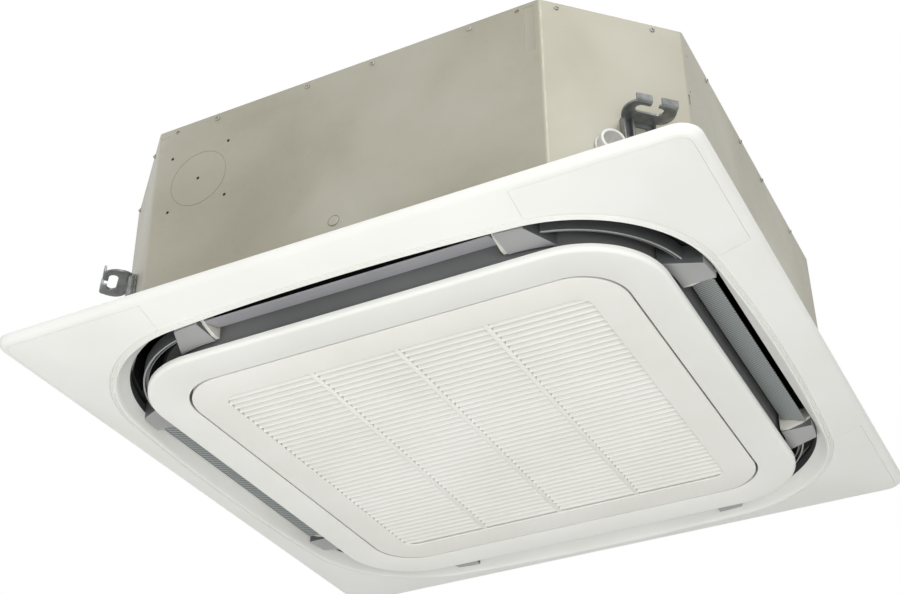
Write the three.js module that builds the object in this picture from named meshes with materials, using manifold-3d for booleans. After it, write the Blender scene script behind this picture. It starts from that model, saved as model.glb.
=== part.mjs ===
// Ceiling cassette air conditioner: a sheet-metal body hung above the ceiling and a square
// outlet panel below it. Millimetres, +Z up. The origin is the centre of the unit in the
// plane of the ceiling: the body stands above z = 0 and the panel hangs below it.
// "Front" is -Y, "right" is +X. One side or one corner is modelled and turned round Z.
import * as THREE from "three";
import { mergeVertices } from "three/addons/utils/BufferGeometryUtils.js";
import Module from "manifold-3d";

const wasm = await Module();
wasm.setup();

// ---------------------------------------------------------------- driving dimensions
const GAP = 0.3; // clearance between pieces that touch
const SHEET = 1.5; // galvanised sheet of the body

const BODY = { half: 420, chamfer: 137, low: 8, top: 306 };
const FLANGE = 12; // inward flange at the foot of the casing
const LINER = 12; // thickness of the foam wall
const PAN = { low: 9.8, top: 57, hole: 284, floor: 33 };
const COIL = { outer: 340, depth: 44, corner: 110, low: 33.3, top: 283.7 };
const OPEN_CORNER = 248; // the coil stops here, at the corner where the pipes leave

const PANEL = { half: 475, corner: 28 };
const LIP = { half: 430.5, corner: 201, bow: 3000 }; // outermost line of the frame's opening
const SLOT = { half: 406, corner: 204 }; // outer wall of the air outlet
const DUCT = { half: 359, corner: 150 }; // inner wall of the air outlet
const INNER = { half: 362, corner: 112, low: -36 }; // fixed panel inside the outlet
const SEAM = { half: 310, corner: 67 }; // opening that the suction grille closes
const GRILLE = { half: 307.5, corner: 67.5, low: -36, skin: 2.5 };
const LOUVRE = { half: 260, corner: 20, first: -256.5, pitch: 12, count: 44, ribPitch: 124 };

const FLAP = { length: 394, pivotR: 384, pivotZ: -4.5, chord: 36.3, tilt: 18, reach: 18, round: 5 };
const BLOCK = { start: 204, low: -19, top: 7.2, wall: 2.2 }; // grey block at each flap end
const VANE = { centre: 210, radius: 174, thick: 2.4, low: -14, top: 6 };

const DRAIN = { side: -19.5, z: 88, out: 18 }; // socket on the front right corner
const PIPES = [
  { name: "gas_pipe", side: 30, z: 150, radius: 7.9, nut: 14, bore: 11 },
  { name: "liquid_pipe", side: 66, z: 118, radius: 4.8, nut: 10, bore: 8 },
]; // refrigerant pipes out of the back right corner
const HANGER = { x: 390, y: 355, z: 133, thick: 3.2 }; // M10 rods at a pitch of 780 x 710
const FAN = { radius: 245, inlet: 186, low: 62, top: 226, blades: 7 };
const THROAT = 178; // bell mouth's narrowest radius
const MOTOR = { radius: 68, low: 165, top: 262 };
const HINGE = { y: 284, z: -33.2, pin: 1.4, arm: 209 }; // suction grille's hinge at the back

const chamferFace = (2 * BODY.half - BODY.chamfer) / Math.SQRT2; // centre to chamfered side
const rad = THREE.MathUtils.degToRad;

// ---------------------------------------------------------------- finishes
const finish = (color, roughness, metalness = 0) =>
  new THREE.MeshStandardMaterial({ color, roughness, metalness });
const galvanised = finish(0xb4b2a2, 0.45, 0.8);
const zinc = finish(0x63686c, 0.4, 0.85);
const whiteAbs = finish(0xf0f0ec, 0.45);
const grilleAbs = finish(0xeeede6, 0.5);
const greyAbs = finish(0x8f9092, 0.5);
const flapAbs = finish(0x85888a, 0.6);
const creamFoam = finish(0xe6e5da, 0.9);
const darkFoam = finish(0x34363a, 0.95);
const darkMesh = finish(0x55585a, 0.9);
const blackFoam = finish(0x2c2d2e, 0.95);
const fanPlastic = finish(0xd9dcda, 0.5);
const motorSteel = finish(0x9a9c9e, 0.4, 0.8);
const copper = finish(0xb87348, 0.35, 0.9);
const finMetal = finish(0xc9cdd0, 0.4, 0.85);
const brass = finish(0xb79a55, 0.35, 0.9);
const pvc = finish(0xe4e3ec, 0.5);
const rubber = finish(0x26272a, 0.8);

// ---------------------------------------------------------------- solids and booleans
function solid(geometry) {
  const bare = geometry.clone();
  bare.deleteAttribute("normal");
  bare.deleteAttribute("uv");
  const merged = mergeVertices(bare, 1e-4);
  return new wasm.Manifold(
    new wasm.Mesh({
      numProp: 3,
      vertProperties: merged.attributes.position.array,
      triVerts: new Uint32Array(merged.index.array),
    }),
  );
}

function geometryOf(body) {
  const mesh = body.getMesh();
  const points = new Float32Array(mesh.vertProperties);
  return new THREE.BufferGeometry()
    .setAttribute("position", new THREE.BufferAttribute(points, 3))
    .setIndex(new THREE.BufferAttribute(new Uint32Array(mesh.triVerts), 1))
    .toNonIndexed();
}

const join = (first, ...rest) => rest.reduce((sum, piece) => sum.add(piece), first);
const cut = (first, ...rest) => rest.reduce((left, piece) => left.subtract(piece), first);

// A flat outline from z = low to z = high.
function prism(points, low, high, holes = []) {
  const shape = new THREE.Shape(points);
  shape.holes = holes.map((hole) => new THREE.Path(hole));
  const depth = high - low;
  const geometry = new THREE.ExtrudeGeometry(shape, { depth, bevelEnabled: false });
  return solid(geometry.translate(0, 0, low));
}

const xy = (...pairs) => pairs.map(([x, y]) => new THREE.Vector2(x, y));
const rectangle = (x0, x1, y0, y1) => xy([x0, y0], [x1, y0], [x1, y1], [x0, y1]);
const box = (x0, x1, y0, y1, z0, z1) => prism(rectangle(x0, x1, y0, y1), z0, z1);

// An outline in the (Y, Z) plane, run along X.
function alongX(points, x0, x1) {
  const shape = new THREE.Shape(points);
  const geometry = new THREE.ExtrudeGeometry(shape, { depth: x1 - x0, bevelEnabled: false });
  const toYZ = new THREE.Matrix4().makeBasis(
    new THREE.Vector3(0, 1, 0),
    new THREE.Vector3(0, 0, 1),
    new THREE.Vector3(1, 0, 0),
  );
  return solid(geometry.applyMatrix4(toYZ).translate(x0, 0, 0));
}

// A closed (radius, z) profile turned round Z.
function revolve(profile, sides) {
  const closed = xy(...profile, profile[0]);
  return solid(new THREE.LatheGeometry(closed, sides).rotateX(Math.PI / 2));
}

// A rod between two points.
function rod(from, to, radius, sides = 12, endRadius = radius) {
  const a = new THREE.Vector3(...from);
  const b = new THREE.Vector3(...to);
  const geometry = new THREE.CylinderGeometry(endRadius, radius, a.distanceTo(b), sides);
  const up = new THREE.Vector3(0, 1, 0);
  const turn = new THREE.Quaternion().setFromUnitVectors(up, b.clone().sub(a).normalize());
  const middle = a.add(b).multiplyScalar(0.5);
  return solid(geometry.applyQuaternion(turn).translate(middle.x, middle.y, middle.z));
}

// A tube bent through the given points.
function bentTube(points, radius, steps, sides = 10) {
  const path = new THREE.CatmullRomCurve3(points.map((p) => new THREE.Vector3(...p)));
  const turnOf = (i) => (2 * Math.PI * i) / sides;
  const spot = (t) => new THREE.Vector2(-radius * Math.sin(t), radius * Math.cos(t));
  const round = new THREE.Shape(Array.from({ length: sides }, (_, i) => spot(turnOf(i))));
  return solid(new THREE.ExtrudeGeometry(round, { steps, extrudePath: path }));
}

// ---------------------------------------------------------------- outlines
// Distance from the centre to a rounded square at the polar angle t. A bow gives its sides
// a large radius, so that they swell outwards between the corners.
function reach({ half, corner, bow = 0 }, t) {
  const quarter = Math.PI / 2;
  let a = ((t % quarter) + quarter) % quarter;
  if (a > quarter / 2) a = quarter - a;
  const toCircle = (cx, cy, r) => {
    const along = Math.cos(a) * cx + Math.sin(a) * cy;
    return along + Math.sqrt(along * along - cx * cx - cy * cy + r * r);
  };
  if (!bow) {
    const middle = half - corner;
    const straight = Math.tan(a) * half <= middle;
    return straight ? half / Math.cos(a) : toCircle(middle, middle, corner);
  }
  const back = bow - half;
  const c = (-back + Math.sqrt(2 * (bow - corner) ** 2 - back * back)) / 2;
  const meet = Math.atan2(c, c + back); // where the side's arc runs into the corner's
  const joint = Math.atan2(bow * Math.sin(meet), bow * Math.cos(meet) - back);
  return a <= joint ? toCircle(-back, 0, bow) : toCircle(c, c, corner);
}

// The outline a distance d inside another.
const inset = ({ half, corner, bow = 0 }, d) => ({
  half: half - d,
  corner: corner - d,
  bow: bow && bow - d,
});

// Polar angles of a whole outline, from those between a side's middle and a corner.
function allRound(eighth) {
  const quarter = [...eighth, ...eighth.slice(1, -1).reverse().map((a) => 90 - a)];
  return [0, 90, 180, 270].flatMap((turn) => quarter.map((a) => rad(a + turn)));
}

const points = (outline, angles) =>
  angles.map((t) => {
    const r = reach(outline, t);
    return new THREE.Vector2(r * Math.cos(t), r * Math.sin(t));
  });

// A closed profile swept round the unit: each profile point has an outline and a height.
// An outline may also be a blend, as [one, other, share of the other].
function sweep(profile, angles) {
  const flat = [];
  const radius = (outline, t) =>
    Array.isArray(outline)
      ? THREE.MathUtils.lerp(reach(outline[0], t), reach(outline[1], t), outline[2])
      : reach(outline, t);
  const loops = profile.map(([outline, z]) =>
    angles.map((t) => {
      const r = radius(outline, t);
      return new THREE.Vector3(r * Math.cos(t), r * Math.sin(t), z);
    }),
  );
  loops.forEach((loop, i) => {
    const next = loops[(i + 1) % loops.length];
    loop.forEach((a, j) => {
      const k = (j + 1) % loop.length;
      flat.push(a, loop[k], next[k], a, next[k], next[j]);
    });
  });
  const body = solid(new THREE.BufferGeometry().setFromPoints(flat));
  return body.volume() > 0 ? body : solid(new THREE.BufferGeometry().setFromPoints(flat.reverse()));
}

// The body's octagon, a distance d inside the outer face of the sheet.
function octagon(d) {
  const half = BODY.half - d;
  const near = Math.SQRT2 * (chamferFace - d) - half; // from a side's middle to its end
  const corners = [[half, -near], [half, near], [near, half], [-near, half]];
  return xy(...corners, ...corners.map(([x, y]) => [-x, -y]));
}

const squareAngles = (first, steps) =>
  allRound([0, ...Array.from({ length: steps + 1 }, (_, i) => first + ((45 - first) * i) / steps)]);
const frameAngles = allRound([0, 16, 28, 33, 38, 43.26, 45]);
const slotAngles = allRound([0, 26.5, 32.5, 39, 45]);
const innerAngles = allRound([0, 34.6, 38, 40.3, 42.7, 45]);
const grilleAngles = squareAngles(38, 3);

// ---------------------------------------------------------------- scene graph
const unit = new THREE.Group();

function node(name, body, material, turn = 0, parent = unit) {
  const mesh = new THREE.Mesh(geometryOf(body), material);
  mesh.name = name;
  mesh.rotation.z = rad(turn);
  parent.add(mesh);
}

// A side or corner piece, modelled at the front or front right, in its four places.
const SIDES = [["front", 0], ["right", 90], ["back", 180], ["left", 270]];
const CORNERS = [["front_right", 0], ["back_right", 90], ["back_left", 180], ["front_left", 270]];

// ---------------------------------------------------------------- body
// Rod from inside the front right corner out through the chamfered side.
function throughChamfer(side, z, radius, from, to) {
  const place = (out) => [(out + side) / Math.SQRT2, (-out + side) / Math.SQRT2, z];
  return rod(place(from), place(to), radius, 16);
}

// Block across the front right chamfer, from side a to side b.
function throughChamferWindow(a, b, low, high, depth) {
  return box(a, b, -chamferFace - depth, -chamferFace + depth, low, high).rotate([0, 0, 45]);
}

const turned = (body, degrees) => body.rotate([0, 0, degrees]);

function casingWrap() {
  const wall = prism(octagon(0), BODY.low, BODY.top, [octagon(SHEET)]);
  const foot = prism(octagon(0.4), BODY.low, BODY.low + SHEET, [octagon(FLANGE)]);
  const drainHole = throughChamfer(DRAIN.side, DRAIN.z, 17, chamferFace - 6, chamferFace + 6);
  const pipeWindow = turned(throughChamferWindow(12, 86, 92, 178, 6), 90);
  const cableHole = rod([-BODY.half - 4, -150, 120], [-BODY.half + 4, -150, 120], 17, 16);
  const knockout = rod([-213, -BODY.half - 4, 205], [-213, -BODY.half + 4, 205], 2.6, 8);
  const slingHoles = [-254, 253].map((x) =>
    rod([x, -BODY.half - 4, 298], [x, -BODY.half + 4, 298], 3, 8),
  );
  return cut(join(wall, foot), drainHole, pipeWindow, cableHole, knockout, ...slingHoles);
}

function casingTop() {
  const skirt = prism(octagon(SHEET + GAP), 290, BODY.top, [octagon(2 * SHEET + GAP)]);
  const lid = prism(octagon(SHEET + GAP), BODY.top - 1.8, BODY.top);
  const beadDepth = 4;
  const bead = (wide, drop, length) =>
    [45, 135, 225, 315].map((turn) =>
      box(150, length, -wide, wide, BODY.top - 1.8 - drop, BODY.top + 1).rotate([0, 0, turn]),
    );
  const pressed = bead(16, beadDepth, 400).map((piece) =>
    piece.intersect(prism(octagon(4), BODY.top - 1.8 - beadDepth, BODY.top)),
  );
  const grooves = bead(14, beadDepth - 1.8, 398);
  const boss = revolve([[88, 299.5], [132, 299.5], [132, 306], [88, 306]], 24);
  const dish = revolve([[0, 301.3], [130, 301.3], [130, 307], [0, 307]], 24);
  const centre = revolve([[0, 299.5], [100, 299.5], [100, 303], [0, 303]], 24);
  return cut(join(skirt, lid, ...pressed, boss), ...grooves, dish).add(centre);
}

function foamLiner() {
  const outer = SHEET * 2 + GAP * 2;
  const wall = prism(octagon(outer), PAN.top + GAP, 303, [octagon(outer + LINER)]);
  const roof = prism(octagon(outer), COIL.top + GAP, 293);
  const motorHole = rod([0, 0, 270], [0, 0, 310], 134, 24);
  const drainHole = throughChamfer(DRAIN.side, DRAIN.z, 20, chamferFace - 40, chamferFace);
  const pipeBay = turned(throughChamferWindow(10, 88, 88, 182, 24), 90);
  return cut(join(wall, roof), motorHole, drainHole, pipeBay);
}

// The drain pan carries the coil in its trough and has the outlet openings.
function drainPan() {
  const coil = { half: COIL.outer, corner: COIL.corner };
  const slab = prism(octagon(SHEET + GAP), PAN.low, PAN.top, [
    points({ half: PAN.hole, corner: 60 }, slotAngles),
  ]);
  const trough = prism(points(inset(coil, -6), slotAngles), PAN.floor, PAN.top + 1, [
    points(inset(coil, COIL.depth + 4), slotAngles),
  ]);
  const side = (turn) => turned(box(-198, 198, -404, -361, 0, 80), turn);
  const cornerHole = (turn) => turned(outletBand(-1, 80).intersect(cornerSquare(-1, 80)), turn);
  return cut(slab, trough, ...[0, 90, 180, 270].map(side), cornerHole(180), cornerHole(270));
}

// The whole width of the air outlet, all round.
function outletBand(low, high) {
  const outer = points(inset(SLOT, 2), slotAngles);
  return prism(outer, low, high, [points(inset(DUCT, -4), slotAngles)]);
}

const cornerSquare = (low, high) => box(264, 450, -450, -264, low, high);

// Cross-fin coil bent round the fan, open at the corner where its pipes are.
function coilBlock() {
  const coil = { half: COIL.outer, corner: COIL.corner };
  const ringBody = prism(points(coil, slotAngles), COIL.low, COIL.top, [
    points(inset(coil, COIL.depth), slotAngles),
  ]);
  return cut(ringBody, box(OPEN_CORNER, 400, OPEN_CORNER, 400, 0, 400));
}

// Plate at one end of the coil, with the U-bends of its tubes.
function tubePlate() {
  const x = OPEN_CORNER + GAP;
  const plate = box(x, x + 2, COIL.outer - COIL.depth, COIL.outer, COIL.low, COIL.top);
  const bends = [];
  for (let i = 0; i < 6; i++) {
    const z = COIL.low + 26 + i * 36;
    const y = COIL.outer - 11 - (i % 2) * 22;
    const bow = [[1, 0], [12, 2], [16, 11], [12, 20], [1, 22]];
    bends.push(bentTube(bow.map(([out, up]) => [x + out, y, z + up]), 3.8, 4, 5));
  }
  return join(plate, ...bends);
}

// Refrigerant pipe from the coil's header out to its flare nut, at the back right corner.
function refrigerantPipe({ radius, side, z, nut }) {
  const place = (out, along, height) => [
    (out - along) / Math.SQRT2,
    (out + along) / Math.SQRT2,
    height,
  ];
  const run = [
    place(440, side, z + 70),
    place(440, side, z + 40),
    place(446, side, z + 8),
    place(470, side, z),
    place(510, side, z),
    place(chamferFace + 34, side, z),
  ];
  const header = rod(place(440, side, z + 20), place(440, side, z + 110), radius + 3, 12);
  const pipe = bentTube(run, radius, 10, 8);
  const outwards = (from, to, r, sides) =>
    rod(place(chamferFace + from, side, z), place(chamferFace + to, side, z), r, sides);
  const flareNut = outwards(20, 40, nut, 6);
  const collar = outwards(38, 46, nut * 0.7, 12);
  return join(pipe, header, flareNut, collar);
}

// Cover plate over the casing's window, split round the two pipes.
function pipeCover() {
  const off = 1.2 / Math.SQRT2;
  const plate = throughChamferWindow(5, 93, 84, 186, 0.8).translate([off, -off, 0]);
  const holes = PIPES.map(({ side, z, bore: r }) =>
    throughChamfer(side, z, r, chamferFace - 10, chamferFace + 10),
  );
  return turned(cut(plate, ...holes), 90);
}

function drainPump() {
  const [x, y] = [324, -324];
  const bodyPart = rod([x, y, 84], [x, y, 128], 17, 16);
  const motorPart = rod([x, y, 127], [x, y, 158], 14, 16);
  const suction = rod([x, y, PAN.top + 1], [x, y, 85], 9, 12, 13);
  return join(bodyPart, motorPart, suction);
}

function floatSwitch() {
  const [x, y] = [289, -366];
  const stem = rod([x, y, PAN.top + GAP], [x, y, 104], 3, 8);
  const float = rod([x, y, 62], [x, y, 78], 10, 12);
  const head = rod([x, y, 96], [x, y, 106], 8, 8);
  return join(stem, float, head);
}

// Socket that the drain hose pushes onto, at the front right corner.
function drainSocket() {
  const start = chamferFace - 14;
  const { side, z, out } = DRAIN;
  const barrel = throughChamfer(side, z, 16, start, chamferFace + out);
  const collar = throughChamfer(side, z, 17.5, chamferFace + GAP, chamferFace + 4);
  const bore = throughChamfer(side, z, 12.5, start + 8, chamferFace + 40);
  return cut(join(barrel, collar), bore);
}

function cableGrommet() {
  const wall = -BODY.half;
  const disc = (from, to, r) => rod([wall + from, -150, 120], [wall + to, -150, 120], r, 16);
  return cut(join(disc(-3, -GAP, 22), disc(-1, 3, 16.6)), disc(-9, 9, 11));
}

// ---------------------------------------------------------------- hanger brackets
// Drawn on the chamfered side: x runs along it, y outwards. The slot for the rod is open
// outwards between two lips that are folded up.
function hangerBracket(hand) {
  const c = (HANGER.x - HANGER.y) / Math.SQRT2;
  const rise = (HANGER.x + HANGER.y) / Math.SQRT2 - chamferFace; // slot's centre line
  const { z, thick } = HANGER;
  const [slotHalf, slotRound, fold] = [18, 6.3, 41.5];
  const mouth = [-1.5, 8.5];
  const plate = new THREE.Shape();
  plate.moveTo(-26, 0.3);
  plate.lineTo(-26, 7);
  plate.quadraticCurveTo(-31, 12, -31, 24);
  plate.quadraticCurveTo(-30, 35, -22, fold);
  plate.lineTo(mouth[0], fold);
  plate.lineTo(mouth[0], rise + slotRound);
  plate.lineTo(-slotHalf + slotRound, rise + slotRound);
  plate.absarc(-slotHalf + slotRound, rise, slotRound, Math.PI / 2, 1.5 * Math.PI, false);
  plate.lineTo(slotHalf - slotRound, rise - slotRound);
  plate.absarc(slotHalf - slotRound, rise, slotRound, -Math.PI / 2, Math.PI / 2, false);
  plate.lineTo(mouth[1], rise + slotRound);
  plate.lineTo(mouth[1], fold);
  plate.lineTo(30, fold);
  plate.quadraticCurveTo(35, 34, 34, 22);
  plate.quadraticCurveTo(31, 10, 18, 7);
  plate.lineTo(18, 0.3);
  const flat = { curveSegments: 3, depth: thick, bevelEnabled: false };
  const tongue = solid(new THREE.ExtrudeGeometry(plate, flat).translate(0, 0, z));
  const lip = (from, to) => box(from, to, fold - 0.4, fold + 2.6, z, z + 11.5);
  const foot = xy([-26, 80], [-20, 70], [12, 70], [18, 80], [18, z + 1], [-26, z + 1]);
  const window = xy([-8, 92], [8, 92], [8, z - 4], [-8, z - 4]);
  const footPlate = prism(foot, 0, 3, [window]).rotate([90, 0, 0]).translate([0, 3.3, 0]);
  const bead = (x) => box(x, x + 3.2, 3, 12, 84, z + 1);
  const lips = join(lip(-22, mouth[0]), lip(mouth[1] + 2, 32));
  const made = join(tongue, lips, footPlate, bead(-26), bead(-15));
  // The long axis of the slot runs towards the unit's left or right side on every corner.
  const moved = made.translate([c, 0, 0]);
  const handed = hand > 0 ? moved : moved.mirror([1, 0, 0]);
  return handed.translate([0, chamferFace, 0]).rotate([0, 0, -135]);
}

// ---------------------------------------------------------------- fan, motor, bell mouth
function fanMotor() {
  const { radius, low, top } = MOTOR;
  const can = revolve([[0, low], [radius - 6, low], [radius, low + 6], [radius, top], [0, top]], 24);
  const bearing = revolve([[0, low - 8], [20, low - 8], [20, low + 1], [0, low + 1]], 16);
  const shaft = rod([0, 0, 124], [0, 0, low], 6, 10);
  const feet = [45, 135, 225, 315].flatMap((turn) => [
    box(50, 94, -9, 9, top - 6, top).rotate([0, 0, turn]),
    rod([84, 0, top - 1], [84, 0, 299.5 - GAP], 9, 10).rotate([0, 0, turn]),
  ]);
  return join(can, bearing, shaft, ...feet);
}

// Turbo fan: dished hub plate round the motor, backward-curved blades, inlet shroud.
function turboFan() {
  const { radius, inlet, low, top, blades } = FAN;
  const sides = 24;
  const hub = revolve(
    [[radius, top - 3], [radius, top], [122, top], [96, top - 26], [86, 152], [17, 144],
      [17, 154], [6.6, 154], [6.6, 134], [20, 134], [88, 148], [99, top - 30], [124, top - 3]],
    sides,
  );
  const shroud = revolve(
    [[inlet, low], [inlet + 2.5, low], [inlet + 3.5, low + 12], [inlet + 14, low + 24],
      [radius, low + 36], [radius, low + 39], [inlet + 12, low + 27], [inlet + 1, low + 14]],
    sides,
  );
  const blade = () => {
    const [inner, swing, thick] = [128, rad(38), 3.2];
    const face = (offset) =>
      [0, 0.25, 0.5, 0.75, 1].map((s) => {
        const r = inner + (radius - 1 - inner) * s;
        const t = -swing * s * s;
        return new THREE.Vector2(r * Math.cos(t) - offset * Math.sin(t), r * Math.sin(t) + offset);
      });
    return [...face(0), ...face(thick).reverse()];
  };
  const passage = revolve(
    [[110, low + 46], [inlet - 6, low + 40], [inlet + 8, low + 24.5], [radius, low + 37.5],
      [radius, top - 1], [123, top - 1], [97, top - 28]],
    sides,
  );
  const oneBlade = prism(blade(), low, top).intersect(passage);
  const set = Array.from({ length: blades }, (_, i) => turned(oneBlade, (360 / blades) * i));
  return join(hub, shroud, ...set);
}

// Nut on the motor's shaft, below the fan's hub.
const fanNut = () =>
  cut(rod([0, 0, 119], [0, 0, 133.6], 11, 6), rod([0, 0, 110], [0, 0, 140], 6.6, 10));

function bellMouth() {
  const flange = { half: 305, corner: 40 };
  const circle = (r) => ({ half: r, corner: r });
  const angles = allRound([0, 13, 26, 38, 45]);
  const bend = (r, zLow, size) =>
    [0, 40, 90].map((deg) => [
      circle(r + size * (1 - Math.sin(rad(deg)))),
      zLow + (66 - zLow) * (1 - Math.cos(rad(deg))),
    ]);
  const under = bend(THROAT, 7.3, 50);
  const over = bend(THROAT + 2.2, 9.5, 50);
  return sweep([[flange, 7.3], ...under, ...over.reverse(), [flange, 9.5]], angles);
}

// ---------------------------------------------------------------- electrical box
function controlBox() {
  const housing = box(-150, 150, -283, -232, -16, 7);
  const ears = [-156, 146].map((x) => box(x, x + 10, -270, -250, 5, 7));
  return join(housing, ...ears);
}

const controlLid = () => {
  const lid = box(-150.5, 150.5, -283.5, -231.5, -18.2, -16.3);
  const rim = box(-151.6, 151.6, -284.6, -230.4, -18.2, -10).subtract(
    box(-150.4, 150.4, -283.4, -231.6, -17, -8),
  );
  return lid.add(rim);
};

// ---------------------------------------------------------------- panel frame
const rim = (half) => ({ half, corner: PANEL.corner - (PANEL.half - half) });
const lip = (half) => inset(LIP, LIP.half - half);
const slotWall = (half) => inset(SLOT, SLOT.half - half);

function frameSkin() {
  const cove = (share) => [lip(421.5), slotWall(406.3), share];
  return sweep(
    [
      [rim(475), 0],
      [rim(475), -2],
      [rim(474.2), -4.6],
      [rim(471.4), -7.6],
      [rim(467), -10.1],
      [lip(432), -22.9],
      [lip(424.5), -25.4],
      [lip(422.9), -24.6],
      [cove(0.35), -18],
      [cove(0.75), -12.3],
      [slotWall(406.3), -8.6],
      [slotWall(409.4), -8.6],
      [slotWall(411.5), -6.4],
      [lip(432), -19.7],
      [rim(469.2), -6.2],
      [rim(471.2), -4.6],
      [rim(471.2), 0],
    ],
    frameAngles,
  );
}

// Slab that follows the underside of the frame, raised from it by low to high.
function frameSlab(low, high) {
  const heights = [[rim(467), -10.1], [lip(432), -22.9], [lip(427.5), -24.4]];
  const up = (lift) => heights.map(([outline, z]) => [outline, z + lift]);
  return sweep([...up(low), ...up(high).reverse()], frameAngles);
}

// Ground plan of one corner cover: inside the rim, outside the lines round the opening.
function coverPlan(margin) {
  const start = 250 - margin;
  const outside = points({ half: 463 + margin, corner: 16 }, frameAngles);
  const opening = points(lip(432.1 - margin), frameAngles);
  return prism(outside, -40, 5, [opening]).intersect(box(start, 480, -480, -start, -40, 5));
}

// The covers lie in pockets of the frame, each with a floor.
function panelFrame() {
  const pad = frameSlab(1, 5.4).intersect(coverPlan(2.5));
  const pocket = frameSlab(-12, 3.4).intersect(coverPlan(0));
  const all = (body) => [0, 90, 180, 270].map((turn) => turned(body, turn));
  return cut(join(frameSkin(), ...all(pad)), ...all(pocket));
}

const cornerCover = () => frameSlab(0, 3).intersect(coverPlan(-GAP));

// ---------------------------------------------------------------- air outlet
function outletOuterRing() {
  const wall = slotWall;
  return sweep(
    [[wall(406), -8.2], [wall(408.2), -8.2], [wall(408.2), 0.5], [wall(416), 0.5], [wall(416), 3],
      [wall(406), 3]],
    slotAngles,
  );
}

function outletInnerRing() {
  const wall = (half) => inset(DUCT, DUCT.half - half);
  const seam = inset(SEAM, -8);
  return sweep(
    [[wall(361.4), -26.4], [wall(357.2), -20.6], [wall(355.5), -8], [wall(357), 2], [wall(359.6), 9.4],
      [seam, 9.4], [seam, 7.2], [wall(356.6), 7.2], [wall(354.6), 1], [wall(353), -8],
      [wall(354.4), -19.6], [wall(358.6), -26.4]],
    slotAngles,
  );
}

// Grey corner piece: a hollow block at the end of each flap, and the guide vane between.
function cornerDuct() {
  const band = (shrink, low, high) =>
    prism(points(inset(SLOT, 0.8 + shrink), slotAngles), low, high, [
      points(inset(DUCT, -2.5 - shrink), slotAngles),
    ]);
  const { start, low, top, wall } = BLOCK;
  const wedge = (a, from, to) => {
    const plan = [[start + a, 345], [start + a, 420], [240 - a, 420], [263 - a, 345]];
    return [
      prism(xy(...plan.map(([x, y]) => [x, -y])), from, to),
      prism(xy(...plan.map(([x, y]) => [y, -x])), from, to),
    ];
  };
  const shell = wedge(0, low, top).map((w) => w.intersect(band(0, low, top)));
  const hollow = wedge(wall, low + wall, 20).map((w) => w.intersect(band(wall, low + wall, 20)));
  const { pivotR, pivotZ } = FLAP;
  const shaftHoles = [
    rod([start - 2, -pivotR, pivotZ], [start + 5, -pivotR, pivotZ], 3, 8),
    rod([pivotR, -start + 2, pivotZ], [pivotR, -start - 5, pivotZ], 3, 8),
  ];
  const { centre, radius, thick } = VANE;
  const arc = new THREE.Shape();
  arc.absarc(centre, -centre, radius + thick / 2, rad(-80), rad(-10), false);
  arc.absarc(centre, -centre, radius - thick / 2, rad(-10), rad(-80), true);
  const vane = prism(arc.getPoints(9), VANE.low, VANE.top).intersect(
    box(251.5, 420, -420, -251.5, VANE.low - 1, VANE.top + 1),
  );
  return join(cut(shell[0], hollow[0]), cut(shell[1], hollow[1]), cut(vane, ...hollow)).subtract(
    join(...shaftHoles),
  );
}

// Air flap at the front: a cambered blade with a pivot stub at each end.
function airFlap() {
  const { pivotR, pivotZ, chord, tilt, reach: back } = FLAP;
  const slope = rad(tilt);
  const at = (s, off) => {
    const along = -back + chord * s;
    const up = -4 + 2.2 * 4 * s * (1 - s) * 0.5 + off;
    return [
      -(pivotR + along * Math.cos(slope) + up * Math.sin(slope)),
      pivotZ - along * Math.sin(slope) + up * Math.cos(slope),
    ];
  };
  const stations = [0.02, 0.2, 0.4, 0.6, 0.8, 0.98];
  const half = (s) => 0.6 + 1.1 * Math.sqrt(Math.sin(Math.PI * Math.min(s + 0.04, 1) * 0.97));
  const upper = stations.map((s) => at(s, half(s)));
  const lower = stations.map((s) => at(s, -half(s))).reverse();
  const section = xy(...[...upper, ...lower].reverse());
  const end = FLAP.length / 2;
  const rounded = (x, y, r) =>
    xy([x - r, y], [x - 0.3 * r, y + 0.3 * r], [x, y + r]);
  const [near, far] = [-pivotR - 18.6, -pivotR + 20];
  const corner = rounded(end, near, FLAP.round);
  const across = corner.map((p) => new THREE.Vector2(p.x, near + far - p.y)).reverse();
  const plan = [...corner, ...across];
  const mirrored = plan.map((p) => new THREE.Vector2(-p.x, p.y)).reverse();
  const blade = alongX(section, -end, end).intersect(prism([...plan, ...mirrored], -40, 40));
  const stub = rod([-203, -pivotR, pivotZ], [203, -pivotR, pivotZ], 2.6, 8);
  const arms = [-FLAP.length / 2, FLAP.length / 2 - 5].map((x) => {
    const web = xy([-pivotR - 4, pivotZ + 2], [-pivotR + 4, pivotZ + 2], at(0.25, 0), at(0.75, 0));
    return alongX(orderly(web), x, x + 5);
  });
  const middle = box(-192, 192, -pivotR - 6, -pivotR + 6, pivotZ - 6, pivotZ + 6);
  return join(blade, cut(stub, middle), ...arms);
}

// The same outline, run counter-clockwise.
function orderly(outline) {
  return THREE.ShapeUtils.area(outline) > 0 ? outline : outline.slice().reverse();
}

// White end wall of an outlet, with the bearing of the flap's pivot.
function flapBearing(end) {
  const wall = xy(
    [-404.8, -7], [-404.8, 6.8], [-362, 6.8], [-361.6, -17], [-372, -17.6], [-392, -13],
  );
  const cheek = alongX(orderly(wall), 198.4, 203.6);
  const hole = rod([190, -FLAP.pivotR, FLAP.pivotZ], [210, -FLAP.pivotR, FLAP.pivotZ], 3.2, 8);
  const made = cut(cheek, hole);
  return end > 0 ? made : made.mirror([1, 0, 0]);
}

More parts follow.
